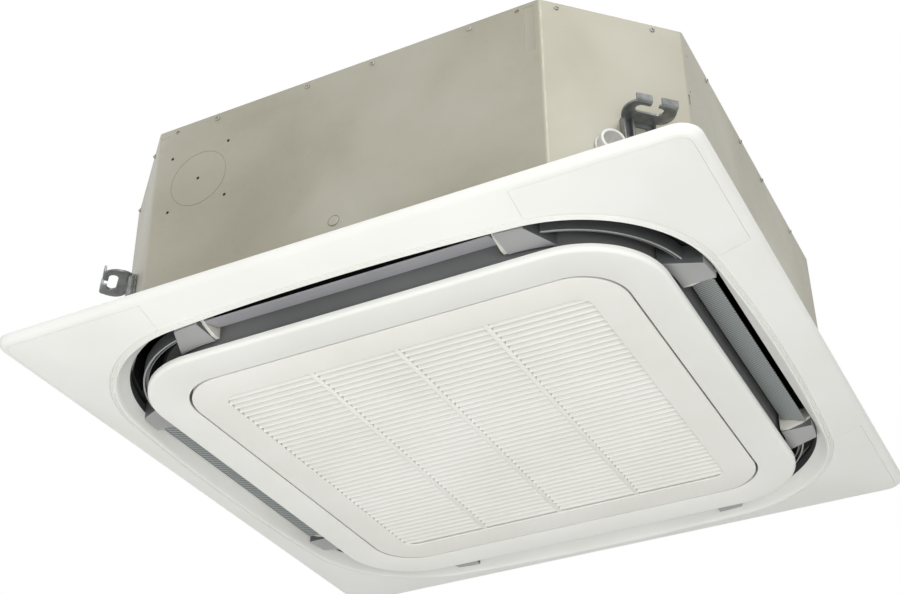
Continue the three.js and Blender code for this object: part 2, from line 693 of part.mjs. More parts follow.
// Stepper motor of a flap, inside the block at its right-hand end.
function flapMotor() {
  const at = (x) => [x, -FLAP.pivotR, FLAP.pivotZ];
  const can = rod(at(BLOCK.start + BLOCK.wall + GAP), at(BLOCK.start + 17), 9.6, 14);
  const shaft = rod(at(BLOCK.start - 0.4), at(BLOCK.start + 4), 2.2, 8);
  return join(can, shaft);
}

// ---------------------------------------------------------------- inner panel and grille
function innerPanel() {
  const edge = (half) => inset(INNER, INNER.half - half);
  const seam = (half) => inset(SEAM, SEAM.half - half);
  return sweep(
    [[edge(362), -27], [edge(362), -31.5], [edge(360.2), -35], [edge(356), -36], [seam(310.8), -36],
      [seam(310), -35.2], [seam(310), -33.4], [seam(313), -33], [seam(313), 6.6], [seam(315.5), 6.6],
      [seam(315.5), -33.4], [edge(355.5), -33.4], [edge(359.4), -31], [edge(359.6), -27]],
    innerAngles,
  );
}

// Arm of the fixed panel that carries one hinge pin of the suction grille. The post stands
// on the open side of the pin, and its foot lies above the way of the grille's back edge.
function hingeArm(side) {
  const { y, z, pin, arm } = HINGE;
  const back = 312.7;
  const outline = xy(
    [y - 6, z + 1.4], [y - 4.5, z], [y, z], [y, -6], [back, -6], [back, 6.6], [y - 6, 6.6],
  );
  const post = alongX(outline, arm - 3, arm + 3);
  const stub = rod([arm, y, z], [arm + 12, y, z], pin, 8);
  const made = join(post, stub);
  return side > 0 ? made : made.mirror([1, 0, 0]);
}

function suctionGrille() {
  const { low, skin } = GRILLE;
  const edge = (half) => inset(GRILLE, GRILLE.half - half);
  const mouth = (half) => inset(LOUVRE, LOUVRE.half - half);
  const border = sweep(
    [[edge(306.7), low], [edge(307.5), low + 0.8], [edge(307.5), -26], [edge(305.3), -26],
      [edge(305.3), low + skin], [mouth(264), low + skin], [mouth(264), -26.5], [mouth(262), -26.5],
      [mouth(260), low + 1.2], [mouth(261.2), low]],
    grilleAngles,
  );
  const { first, pitch, count, ribPitch } = LOUVRE;
  const slats = Array.from({ length: count }, (_, i) => {
    const y = first + i * pitch;
    const section = xy([y + 3.4, low + 0.6], [y + 5.6, low + 0.6], [y - 3.2, -27.6], [y - 5.4, -27.6]);
    return alongX(section, -262.4, 262.4);
  });
  const ribs = [-ribPitch, 0, ribPitch].map((x) => box(x - 2, x + 2, -262.6, 262.6, -33.5, -24.4));
  const louvres = join(...slats).intersect(
    prism(points(mouth(262.6), grilleAngles), low, -20),
  );
  const ears = [-1, 1].map((side) => hingeEar(side));
  const notches = [-1, 1].flatMap((side) => [
    box(side * (HINGE.arm + 4) - 9, side * (HINGE.arm + 4) + 9, HINGE.y - 3, HINGE.y + 3, -35.1, -30),
    box(side * HINGE.arm - 5, side * HINGE.arm + 5, 302, 312, low + skin, 0),
    box(side * 180 - 13, side * 180 + 13, -312, -302, low + skin, 0),
  ]);
  return join(cut(join(border, louvres, ...ribs), ...notches), ...ears);
}

// Ear of the grille round a hinge pin.
function hingeEar(side) {
  const { y, z, pin, arm } = HINGE;
  const x = arm + 4.5;
  const plate = xy(
    [y - 5, z - 1], [y - 3, z - 2.2], [y + 3, z - 2.2], [y + 5, z - 1], [y + 2, z + 4], [y - 2, z + 4],
  );
  const ear = alongX(plate, x, x + 5);
  const hole = rod([x - 2, y, z], [x + 9, y, z], pin + 0.4, 8);
  const made = cut(ear, hole);
  return side > 0 ? made : made.mirror([1, 0, 0]);
}

// Sliding catch behind the grille's front border, with its finger tab in the first gap.
function grilleLatch(side) {
  const x = side * 180;
  const slide = box(x - 10, x + 10, -307.9, -268, -32.8, -30);
  const tab = box(x - 7, x + 7, -275, -266.5, -32.8, -26);
  return join(slide, tab);
}

function airFilter() {
  const frameBars = box(-258, 258, -258, 258, -23.9, -20.4);
  const windows = [];
  const cell = 129;
  for (let i = 0; i < 4; i++) {
    for (let j = 0; j < 4; j++) {
      const [x, y] = [-258 + i * cell, -258 + j * cell];
      windows.push(box(x + 4, x + cell - 4, y + 4, y + cell - 4, -23, -20));
    }
  }
  return cut(frameBars, ...windows);
}

function panelSeal() {
  const wall = slotWall;
  return sweep(
    [[wall(407), 3.3], [wall(415.5), 3.3], [wall(415.5), 7.7], [wall(407), 7.7]],
    slotAngles,
  );
}

// ---------------------------------------------------------------- assembly
node("casing_wrap", casingWrap(), galvanised);
node("casing_top", casingTop(), galvanised);
node("foam_liner", foamLiner(), darkFoam);
node("drain_pan", drainPan(), darkFoam);
node("heat_exchanger", coilBlock(), finMetal);
node("tube_plate_back", tubePlate(), copper);
node("tube_plate_right", tubePlate().mirror([1, -1, 0]), copper);
PIPES.forEach((pipe) => node(pipe.name, refrigerantPipe(pipe), copper));
node("pipe_cover", pipeCover(), galvanised);
node("drain_pump", drainPump(), pvc);
node("float_switch", floatSwitch(), pvc);
node("drain_socket", drainSocket(), pvc);
node("cable_grommet", cableGrommet(), rubber);
CORNERS.forEach(([corner, turn], i) =>
  node("hanger_" + corner, hangerBracket(i % 2 ? 1 : -1), zinc, turn),
);
node("fan_motor", fanMotor(), motorSteel);
node("fan_impeller", turboFan(), fanPlastic);
node("fan_nut", fanNut(), brass);
node("bell_mouth", bellMouth(), whiteAbs);
node("control_box", controlBox(), galvanised);
node("control_box_lid", controlLid(), galvanised);
node("panel_seal", panelSeal(), blackFoam);
node("panel_frame", panelFrame(), whiteAbs);
node("outlet_outer_ring", outletOuterRing(), greyAbs);
node("outlet_inner_ring", outletInnerRing(), greyAbs);
node("inner_panel", innerPanel(), whiteAbs);
for (const [corner, turn] of CORNERS) {
  node("corner_cover_" + corner, cornerCover(), whiteAbs, turn);
  node("corner_duct_" + corner, cornerDuct(), greyAbs, turn);
}
for (const [side, turn] of SIDES) {
  node("flap_" + side, airFlap(), flapAbs, turn);
  node("flap_motor_" + side, flapMotor(), zinc, turn);
  node("flap_bearing_" + side + "_a", flapBearing(-1), creamFoam, turn);
  node("flap_bearing_" + side + "_b", flapBearing(1), creamFoam, turn);
}
node("suction_grille", suctionGrille(), grilleAbs);
node("air_filter", airFilter(), darkMesh);
for (const [hand, side] of [["left", -1], ["right", 1]]) {
  node("grille_hinge_" + hand, hingeArm(side), whiteAbs);
  node("grille_latch_" + hand, grilleLatch(side), whiteAbs);
}

export default unit;
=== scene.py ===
# Ceiling cassette air conditioner, dressed over its CAD frame. Metres, +Z up.
# The origin is the unit's centre in the plane of the ceiling; -Y is the front.
import math
import bmesh
import bpy
from mathutils import Euler, Matrix, Vector


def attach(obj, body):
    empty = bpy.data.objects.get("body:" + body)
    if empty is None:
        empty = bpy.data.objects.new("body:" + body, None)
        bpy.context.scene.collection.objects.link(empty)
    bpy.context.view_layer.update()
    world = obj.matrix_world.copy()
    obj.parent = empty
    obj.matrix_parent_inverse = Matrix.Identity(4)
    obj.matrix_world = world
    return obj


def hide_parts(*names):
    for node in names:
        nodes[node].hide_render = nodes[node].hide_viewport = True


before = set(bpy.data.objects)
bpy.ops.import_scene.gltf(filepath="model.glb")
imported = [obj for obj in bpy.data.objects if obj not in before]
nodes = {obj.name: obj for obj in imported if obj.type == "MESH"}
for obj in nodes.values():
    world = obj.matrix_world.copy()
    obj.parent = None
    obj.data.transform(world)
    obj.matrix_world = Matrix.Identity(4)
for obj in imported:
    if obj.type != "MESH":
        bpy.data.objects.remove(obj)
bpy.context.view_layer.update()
mm = 0.001
print("CAD frame loaded:", len(nodes), "nodes")

sideNames = ["front", "right", "back", "left"]
cornerNames = ["front_right", "back_right", "back_left", "front_left"]


# camera, light and floor: the view is from below, as in the photograph
view = {
    "cameraAt": (0.8115, -1.7396, -1.0849),
    "lookAt": (0.0909, -0.2886, 0.0),
    "rollDegrees": -0.63,
    "lensMm": 63.1,
    "floorHeight": -2.6,
    "floorLift": 0.42,  # pales the floor where it is seen, without lighting anything
    "worldGrey": 0.42,
    "keyWatts": 53.0,
    "fillWatts": 10.0,
    "underWatts": 25.0,
    "highWatts": 27.0,  # over the panel, on the casing's front right corner
}


def linear(hexText):
    # sRGB hex to the linear colour that the shader takes
    parts = [int(hexText[i : i + 2], 16) / 255 for i in (0, 2, 4)]
    turned = [c / 12.92 if c <= 0.04045 else ((c + 0.055) / 1.055) ** 2.4 for c in parts]
    return (*turned, 1.0)


def addNode(tree, kind, values=None, links=None, stops=None, **settings):
    # one node: its settings, a ramp's stops, its input values and what its inputs come from
    node = tree.nodes.new(kind)
    for key, value in settings.items():
        setattr(node, key, value)
    for index, (where, colour) in enumerate(stops or []):
        if index == len(node.color_ramp.elements):
            node.color_ramp.elements.new(where)
        node.color_ramp.elements[index].position = where
        node.color_ramp.elements[index].color = linear(colour)
    for key, value in (values or {}).items():
        node.inputs[key].default_value = value
    for key, source in (links or {}).items():
        tree.links.new(source, node.inputs[key])
    return node


def aimAt(thing, target, rollDegrees=0.0):
    away = Vector(target) - thing.location
    turn = away.to_track_quat("-Z", "Y")
    roll = Euler((0, 0, math.radians(rollDegrees))).to_quaternion()
    thing.rotation_mode = "QUATERNION"
    thing.rotation_quaternion = turn @ roll


def makeCamera():
    data = bpy.data.cameras.new("photoCamera")
    data.lens = view["lensMm"]
    data.sensor_width = 36.0
    data.clip_end = 50.0
    camera = bpy.data.objects.new("photoCamera", data)
    bpy.context.scene.collection.objects.link(camera)
    camera.location = view["cameraAt"]
    aimAt(camera, view["lookAt"], view["rollDegrees"])
    bpy.context.scene.camera = camera


def makeSoftbox(name, place, size, watts):
    data = bpy.data.lights.new(name, "AREA")
    data.shape = "DISK"
    data.size = size
    data.energy = watts
    lamp = bpy.data.objects.new(name, data)
    bpy.context.scene.collection.objects.link(lamp)
    lamp.location = place
    aimAt(lamp, (0, 0, 0.08))


def seenRays(tree):
    # 1 on what the camera sees, straight, mirrored or through glass; 0 for lighting
    path = addNode(tree, "ShaderNodeLightPath")
    seen = path.outputs["Is Camera Ray"]
    for ray in ("Is Glossy Ray", "Is Transmission Ray"):
        links = {0: seen, 1: path.outputs[ray]}
        seen = addNode(tree, "ShaderNodeMath", links=links, operation="MAXIMUM").outputs[0]
    return seen


def makeStudio():
    makeSoftbox("keySoftbox", (2.0, -2.6, -0.8), 2.2, view["keyWatts"])
    makeSoftbox("fillSoftbox", (-2.8, -1.2, 1.0), 2.4, view["fillWatts"])
    makeSoftbox("underSoftbox", (-0.6, -1.2, -2.3), 2.0, view["underWatts"])
    makeSoftbox("highSoftbox", (1.9, -1.9, 2.2), 1.4, view["highWatts"])
    world = bpy.data.worlds.new("paleStudio")
    bpy.context.scene.world = world
    world.use_nodes = True
    tree = world.node_tree
    tree.nodes.clear()
    grey = addNode(tree, "ShaderNodeBackground", {"Color": (1, 1, 1, 1), "Strength": view["worldGrey"]})
    white = addNode(tree, "ShaderNodeBackground", {"Color": (1, 1, 1, 1), "Strength": 1.0})
    either = addNode(
        tree,
        "ShaderNodeMixShader",
        links={0: seenRays(tree), 1: grey.outputs[0], 2: white.outputs[0]},
    )
    addNode(tree, "ShaderNodeOutputWorld", links={"Surface": either.outputs[0]})
    deselectAll()
    bpy.ops.mesh.primitive_plane_add(size=16, location=(0, 0, view["floorHeight"]))
    floor = bpy.context.object
    floor.name = "paleFloor"
    material = bpy.data.materials.new("paleFloorPaint")
    material.use_nodes = True
    shader = material.node_tree.nodes["Principled BSDF"]
    shader.inputs["Base Color"].default_value = linear("F2F2F0")
    shader.inputs["Roughness"].default_value = 0.9
    shader.inputs["Emission Color"].default_value = (1, 1, 1, 1)
    glow = addNode(
        material.node_tree,
        "ShaderNodeMath",
        {1: view["floorLift"]},
        {0: seenRays(material.node_tree)},
        operation="MULTIPLY",
    )
    material.node_tree.links.new(glow.outputs[0], shader.inputs["Emission Strength"])
    floor.data.materials.append(material)
    bpy.context.scene.view_settings.view_transform = "Standard"


# materials
def newMaterial(name, colour, roughness, metallic=0.0, ior=1.5):
    material = bpy.data.materials.new(name)
    material.use_nodes = True
    tree = material.node_tree
    shader = tree.nodes["Principled BSDF"]
    shader.inputs["Base Color"].default_value = linear(colour)
    shader.inputs["Roughness"].default_value = roughness
    shader.inputs["Metallic"].default_value = metallic
    shader.inputs["IOR"].default_value = ior
    place = addNode(tree, "ShaderNodeTexCoord").outputs["Object"]
    return material, tree, shader, place


def mouldedAbs(name, pale, dark, roughness, grainMm=0.9, grainDeepMm=0.02, shine=0.5):
    # ABS from a spark-eroded mould: an even satin with a very fine leathery grain, slightly
    # uneven in tint and shine where it has been handled
    material, tree, shader, place = newMaterial(name, pale, roughness, ior=1.53)
    shader.inputs["Specular IOR Level"].default_value = shine
    cloud = addNode(tree, "ShaderNodeTexNoise", {"Scale": 1000 / 160, "Detail": 2.0}, {"Vector": place})
    tint = addNode(
        tree, "ShaderNodeValToRGB", links={"Fac": cloud.outputs["Fac"]}, stops=[(0.35, dark), (0.65, pale)]
    )
    tree.links.new(tint.outputs["Color"], shader.inputs["Base Color"])
    smudge = addNode(tree, "ShaderNodeTexNoise", {"Scale": 1000 / 45, "Detail": 4.0}, {"Vector": place})
    satin = addNode(
        tree,
        "ShaderNodeMapRange",
        {"From Min": 0.3, "From Max": 0.7, "To Min": roughness - 0.05, "To Max": roughness + 0.06},
        {"Value": smudge.outputs["Fac"]},
    )
    tree.links.new(satin.outputs["Result"], shader.inputs["Roughness"])
    grain = addNode(tree, "ShaderNodeTexNoise", {"Scale": 1000 / grainMm, "Detail": 2.0}, {"Vector": place})
    bump = addNode(tree, "ShaderNodeBump", {"Distance": grainDeepMm * mm}, {"Height": grain.outputs["Fac"]})
    tree.links.new(bump.outputs["Normal"], shader.inputs["Normal"])
    return material


def galvanisedSheet(name, light, mid, dark):
    # hot-dip galvanised sheet, skin-passed: crystals 6 mm across that hardly show, under a
    # warm dull oxide with soft cloudy stains, and streaks of the rolling 1 mm wide
    material, tree, shader, place = newMaterial(name, mid, 0.5, 0.45)
    cloud = addNode(
        tree,
        "ShaderNodeTexNoise",
        {"Scale": 1000 / 240, "Detail": 3.0, "Roughness": 0.45, "Distortion": 0.3},
        {"Vector": place},
    )
    crystals = addNode(tree, "ShaderNodeTexVoronoi", {"Scale": 1000 / 6}, {"Vector": place})
    grey = addNode(tree, "ShaderNodeRGBToBW", links={"Color": crystals.outputs["Color"]})
    blend = addNode(
        tree, "ShaderNodeMix", {"Factor": 0.07}, {"A": cloud.outputs["Fac"], "B": grey.outputs[0]}
    )
    colour = addNode(
        tree,
        "ShaderNodeValToRGB",
        links={"Fac": blend.outputs["Result"]},
        stops=[(0.3, dark), (0.5, mid), (0.7, light)],
    )
    tree.links.new(colour.outputs["Color"], shader.inputs["Base Color"])
    dull = addNode(
        tree,
        "ShaderNodeMapRange",
        {"From Min": 0.2, "From Max": 0.8, "To Min": 0.46, "To Max": 0.56},
        {"Value": grey.outputs[0]},
    )
    tree.links.new(dull.outputs["Result"], shader.inputs["Roughness"])
    rolling = addNode(tree, "ShaderNodeMapping", {"Scale": (1, 1, 0.05)}, {"Vector": place})
    streaks = addNode(
        tree, "ShaderNodeTexNoise", {"Scale": 1000.0, "Detail": 1.0}, {"Vector": rolling.outputs["Vector"]}
    )
    bump = addNode(tree, "ShaderNodeBump", {"Distance": 0.02 * mm}, {"Height": streaks.outputs["Fac"]})
    tree.links.new(bump.outputs["Normal"], shader.inputs["Normal"])
    return material


def platedSteel(name, pale, dark, roughness, metallic=0.7):
    # zinc-plated pressed steel: grey under a thin passivation, a little cloudy, with fine
    # drawn scratches about 1 mm apart
    material, tree, shader, place = newMaterial(name, pale, roughness, metallic)
    cloud = addNode(tree, "ShaderNodeTexNoise", {"Scale": 1000 / 14, "Detail": 4.0}, {"Vector": place})
    tint = addNode(
        tree, "ShaderNodeValToRGB", links={"Fac": cloud.outputs["Fac"]}, stops=[(0.35, dark), (0.65, pale)]
    )
    tree.links.new(tint.outputs["Color"], shader.inputs["Base Color"])
    fine = addNode(tree, "ShaderNodeTexNoise", {"Scale": 1000 / 1.2, "Detail": 2.0}, {"Vector": place})
    gloss = addNode(
        tree,
        "ShaderNodeMapRange",
        {"From Min": 0.3, "From Max": 0.7, "To Min": roughness - 0.08, "To Max": roughness + 0.1},
        {"Value": fine.outputs["Fac"]},
    )
    tree.links.new(gloss.outputs["Result"], shader.inputs["Roughness"])
    bump = addNode(tree, "ShaderNodeBump", {"Distance": 0.02 * mm}, {"Height": fine.outputs["Fac"]})
    tree.links.new(bump.outputs["Normal"], shader.inputs["Normal"])
    return material


def beadFoam(name, pale, dark):
    # moulded bead foam: cells 4 mm across, pressed together with dark joints between them
    material, tree, shader, place = newMaterial(name, pale, 0.85, ior=1.45)
    cells = addNode(
        tree, "ShaderNodeTexVoronoi", {"Scale": 1000 / 4}, {"Vector": place}, feature="DISTANCE_TO_EDGE"
    )
    tint = addNode(
        tree,
        "ShaderNodeValToRGB",
        links={"Fac": cells.outputs["Distance"]},
        stops=[(0.0, dark), (0.12, pale)],
    )
    tree.links.new(tint.outputs["Color"], shader.inputs["Base Color"])
    bump = addNode(
        tree,
        "ShaderNodeBump",
        {"Distance": 0.4 * mm, "Strength": 0.6},
        {"Height": cells.outputs["Distance"]},
    )
    tree.links.new(bump.outputs["Normal"], shader.inputs["Normal"])
    return material


def finStock(name, pale, dark):
    # bare aluminium fins 1.6 mm apart, drawn 3 mm apart so that they show
    material, tree, shader, place = newMaterial(name, pale, 0.35, 0.9)
    turned = addNode(tree, "ShaderNodeMapping", {"Rotation": (0, 0, math.radians(45))}, {"Vector": place})
    fins = addNode(
        tree,
        "ShaderNodeTexWave",
        {"Scale": 1000 / 3.0 / 3.2, "Distortion": 0.4, "Detail": 1.0},
        {"Vector": turned.outputs["Vector"]},
        bands_direction="X",
    )
    tint = addNode(
        tree, "ShaderNodeValToRGB", links={"Fac": fins.outputs["Fac"]}, stops=[(0.2, dark), (0.8, pale)]
    )
    tree.links.new(tint.outputs["Color"], shader.inputs["Base Color"])
    bump = addNode(tree, "ShaderNodeBump", {"Distance": 0.5 * mm}, {"Height": fins.outputs["Fac"]})
    tree.links.new(bump.outputs["Normal"], shader.inputs["Normal"])
    return material


def drawnMetal(name, pale, dark, roughness):
    # drawn tube or turned part: bright metal, tarnished in patches 20 mm across
    material, tree, shader, place = newMaterial(name, pale, roughness, 1.0)
    patch = addNode(tree, "ShaderNodeTexNoise", {"Scale": 1000 / 22, "Detail": 4.0}, {"Vector": place})
    tint = addNode(
        tree, "ShaderNodeValToRGB", links={"Fac": patch.outputs["Fac"]}, stops=[(0.35, dark), (0.65, pale)]
    )
    tree.links.new(tint.outputs["Color"], shader.inputs["Base Color"])
    gloss = addNode(
        tree,
        "ShaderNodeMapRange",
        {"From Min": 0.3, "From Max": 0.7, "To Min": roughness + 0.12, "To Max": roughness},
        {"Value": patch.outputs["Fac"]},
    )
    tree.links.new(gloss.outputs["Result"], shader.inputs["Roughness"])
    return material


def filterNet(name, thread, gap):
    # resin net of 1 mm mesh, drawn at 2.5 mm so that it shows
    material, tree, shader, place = newMaterial(name, thread, 0.7)
    size = {"Scale": 1000 / 2.5 / 3.14}
    warp = addNode(tree, "ShaderNodeTexWave", size, {"Vector": place}, bands_direction="X")
    weft = addNode(tree, "ShaderNodeTexWave", size, {"Vector": place}, bands_direction="Y")
    net = addNode(
        tree, "ShaderNodeMath", links={0: warp.outputs["Fac"], 1: weft.outputs["Fac"]}, operation="MAXIMUM"
    )
    tint = addNode(
        tree, "ShaderNodeValToRGB", links={"Fac": net.outputs[0]}, stops=[(0.5, gap), (0.85, thread)]
    )
    tree.links.new(tint.outputs["Color"], shader.inputs["Base Color"])
    bump = addNode(tree, "ShaderNodeBump", {"Distance": 0.3 * mm}, {"Height": net.outputs[0]})
    tree.links.new(bump.outputs["Normal"], shader.inputs["Normal"])
    return material


def ribbedFlap(name, pale, dark):
    # grey moulding whose face carries fine slanting ribs against dripping dew, 2 mm apart and
    # drawn 4.5 mm apart so that they show
    material, tree, shader, place = newMaterial(name, pale, 0.5, ior=1.53)
    turned = addNode(tree, "ShaderNodeMapping", {"Rotation": (0, 0, math.radians(40))}, {"Vector": place})
    ribs = addNode(
        tree,
        "ShaderNodeTexWave",
        {"Scale": 1000 / 4.5 / 3.14},
        {"Vector": turned.outputs["Vector"]},
        bands_direction="X",
    )
    tint = addNode(
        tree, "ShaderNodeValToRGB", links={"Fac": ribs.outputs["Fac"]}, stops=[(0.3, dark), (0.7, pale)]
    )
    tree.links.new(tint.outputs["Color"], shader.inputs["Base Color"])
    bump = addNode(tree, "ShaderNodeBump", {"Distance": 0.3 * mm}, {"Height": ribs.outputs["Fac"]})
    tree.links.new(bump.outputs["Normal"], shader.inputs["Normal"])
    return material


def softRubber(name, pale, dark):
    # moulded rubber or closed-cell foam: nearly black and dull, dusty in the hollows
    material, tree, shader, place = newMaterial(name, pale, 0.8)
    dust = addNode(tree, "ShaderNodeTexNoise", {"Scale": 1000 / 6, "Detail": 4.0}, {"Vector": place})
    tint = addNode(
        tree, "ShaderNodeValToRGB", links={"Fac": dust.outputs["Fac"]}, stops=[(0.4, dark), (0.7, pale)]
    )
    tree.links.new(tint.outputs["Color"], shader.inputs["Base Color"])
    pores = addNode(tree, "ShaderNodeTexNoise", {"Scale": 1000.0, "Detail": 2.0}, {"Vector": place})
    bump = addNode(tree, "ShaderNodeBump", {"Distance": 0.08 * mm}, {"Height": pores.outputs["Fac"]})
    tree.links.new(bump.outputs["Normal"], shader.inputs["Normal"])
    return material


def makeMaterials():
    return {
        "panelAbs": mouldedAbs("satinWhiteAbs", "F1F1ED", "EDEDE8", 0.55, shine=0.3),
        "grilleAbs": mouldedAbs("grilleWhiteAbs", "F1F0EB", "ECEBE4", 0.5, shine=0.35),
        "ductAbs": mouldedAbs("greyDuctAbs", "A7A7A7", "9D9D9D", 0.5),
        # the inner ring's grey is set below the duct grey so that the slot under the flaps reads dark:
        # partly the ring's own grey, partly painted shade
        "innerRingAbs": mouldedAbs("greyRingAbs", "828383", "777878", 0.5),
        "ringAbs": mouldedAbs("outerRingAbs", "5F6162", "565859", 0.5),
        "flapSmooth": mouldedAbs("greyFlapAbs", "ABABAF", "A1A1A6", 0.45),
        "flapRibbed": ribbedFlap("ribbedFlapAbs", "A2A8A7", "6C7372"),
        "cheekAbs": mouldedAbs("whiteCheekAbs", "DDDBD2", "D2D0C6", 0.55),
        "casingSheet": galvanisedSheet("galvanisedSheet", "B5B3A6", "AAA798", "9B9787"),
        "bracketSteel": platedSteel("zincPlatedSteel", "8F9190", "6E7170", 0.35, 0.6),
        "screwSteel": platedSteel("zincScrewSteel", "B5B4AC", "94938C", 0.35),
        "motorCan": platedSteel("motorCanSteel", "A6A8AA", "8E9092", 0.4),
        "darkFoam": beadFoam("charcoalBeadFoam", "2A2B2C", "1C1D1E"),
        "fins": finStock("aluminiumFins", "C9CCCF", "84888C"),
        "copper": drawnMetal("drawnCopper", "B97C5E", "8A5A44", 0.32),
        "brass": drawnMetal("turnedBrass", "C2A25A", "8F743A", 0.28),
        "pvc": mouldedAbs("whitePvc", "DEDEDA", "D2D2CE", 0.4),
        "fanPlastic": mouldedAbs("glassFilledFanPlastic", "DCDEDC", "CDD0CE", 0.5, 1.6, 0.03),
        "net": filterNet("filterNet", "5D6062", "2A2C2E"),
        "rubber": softRubber("mouldedRubber", "2B2C2E", "1D1E20"),
    }


# outlines: every ring of the panel is placed by its polar angle
def reachOf(outline, angle):
    # distance from the centre to a rounded square; a bow swells its sides outwards
    half, corner, bow = outline
    quarter = math.pi / 2
    a = angle % quarter
    if a > quarter / 2:
        a = quarter - a

    def toCircle(cx, cy, radius):
        along = math.cos(a) * cx + math.sin(a) * cy
        return along + math.sqrt(along * along - cx * cx - cy * cy + radius * radius)

    if not bow:
        middle = half - corner
        if math.tan(a) * half <= middle:
            return half / math.cos(a)
        return toCircle(middle, middle, corner)
    back = bow - half
    c = (-back + math.sqrt(2 * (bow - corner) ** 2 - back * back)) / 2
    meet = math.atan2(c, c + back)
    joint = math.atan2(bow * math.sin(meet), bow * math.cos(meet) - back)
    return toCircle(-back, 0, bow) if a <= joint else toCircle(c, c, corner)


def inset(outline, distance):
    half, corner, bow = outline
    return (half - distance, corner - distance, bow - distance if bow else 0)


def spotOn(outline, angle):
    # an outline, or a blend of two: (one, other, share of the other)
    if isinstance(outline[0], tuple):
        one, other, share = outline
        return reachOf(one, angle) * (1 - share) + reachOf(other, angle) * share
    return reachOf(outline, angle)


def anglesRound(eighthStops):
    # all angles of a ring from stops (degrees, steps) between a side's middle and a corner
    eighth, last = [0.0], 0.0
    for stop, steps in eighthStops:
        eighth += [last + (stop - last) * (i + 1) / steps for i in range(steps)]
        last = stop
    quarter = eighth + [90 - a for a in reversed(eighth[1:-1])]
    return [math.radians(a + turn) for turn in (0, 90, 180, 270) for a in quarter]


rimStops = [(25, 8), (43.26, 14), (45, 5)]
slotStops = [(26, 8), (45, 16)]
seamStops = [(37.8, 8), (42.7, 9), (45, 8)]


# modelling helpers
def deselectAll():
    if bpy.context.mode != "OBJECT":
        bpy.ops.object.mode_set(mode="OBJECT")
    bpy.ops.object.select_all(action="DESELECT")


def choose(piece):
    deselectAll()
    piece.select_set(True)
    bpy.context.view_layer.objects.active = piece


def editMode(piece, selectAll=True):
    choose(piece)
    bpy.ops.object.mode_set(mode="EDIT")
    bpy.ops.mesh.select_all(action="SELECT" if selectAll else "DESELECT")


def cleanUp(piece, smoothDegrees=30, merge=0.002):
    # doubles merged, faces outwards, smooth except over sharp bends
    editMode(piece)
    bpy.ops.mesh.remove_doubles(threshold=merge * mm)
    bpy.ops.mesh.normals_make_consistent(inside=False)
    bpy.ops.object.mode_set(mode="OBJECT")
    if smoothDegrees:
        bpy.ops.object.shade_smooth_by_angle(angle=math.radians(smoothDegrees))
    return piece


def ringPiece(name, loops, stops, smoothDegrees=30):
    # a circle of edges, extruded loop by loop; each loop is laid on its outline, in mm
    angles = anglesRound(stops)
    deselectAll()
    bpy.ops.mesh.primitive_circle_add(vertices=len(angles), radius=0.4)
    piece = bpy.context.object
    piece.name = name
    bpy.ops.object.mode_set(mode="EDIT")
    bpy.ops.mesh.select_all(action="SELECT")
    for step, (outline, z) in enumerate([*loops, loops[0]]):
        if step:
            bpy.ops.mesh.extrude_edges_move()
        mesh = bmesh.from_edit_mesh(piece.data)
        picked = [v for v in mesh.verts if v.select]
        if step == 0:
            picked.sort(key=lambda v: math.atan2(v.co.y, v.co.x) % (2 * math.pi))
            for vert, angle in zip(picked, angles):
                vert.co = (math.cos(angle), math.sin(angle), 0)
        for vert in picked:
            angle = math.atan2(vert.co.y, vert.co.x)
            r = spotOn(outline, angle) * mm
            vert.co = (r * math.cos(angle), r * math.sin(angle), z * mm)
        bmesh.update_edit_mesh(piece.data)
    bpy.ops.object.mode_set(mode="OBJECT")
    return cleanUp(piece, smoothDegrees)


def platePiece(name, outline, low, high, smoothDegrees=30):
    # a filled outline of (x, y) in mm, extruded from low to high
    deselectAll()
    bpy.ops.mesh.primitive_circle_add(vertices=len(outline), radius=0.1, fill_type="NGON")
    piece = bpy.context.object
    piece.name = name
    for vert, (x, y) in zip(piece.data.vertices, outline):
        vert.co = (x * mm, y * mm, low * mm)
    editMode(piece)
    bpy.ops.mesh.extrude_region_move(TRANSFORM_OT_translate={"value": (0, 0, (high - low) * mm)})
    bpy.ops.object.mode_set(mode="OBJECT")
    return cleanUp(piece, smoothDegrees)


def barPiece(name, section, x0, x1, smoothDegrees=30):
    # a closed section of (y, z) in mm, run along X
    piece = platePiece(name, section, x0, x1, None)
    for vert in piece.data.vertices:
        y, z, x = vert.co
        vert.co = (x, y, z)
    return cleanUp(piece, smoothDegrees)


def boxPiece(name, low, high, bevelMm=0.0, segments=2):
    # a cube stretched between two corners in mm, its edges rounded in edit mode
    deselectAll()
    bpy.ops.mesh.primitive_cube_add(size=1)
    piece = bpy.context.object
    piece.name = name
    for vert in piece.data.vertices:
        vert.co = [(a if c < 0 else b) * mm for c, a, b in zip(vert.co, low, high)]
    if bevelMm:
        editMode(piece)
        bpy.ops.mesh.bevel(offset=bevelMm * mm, segments=segments, affect="EDGES")
        bpy.ops.object.mode_set(mode="OBJECT")
    return cleanUp(piece)


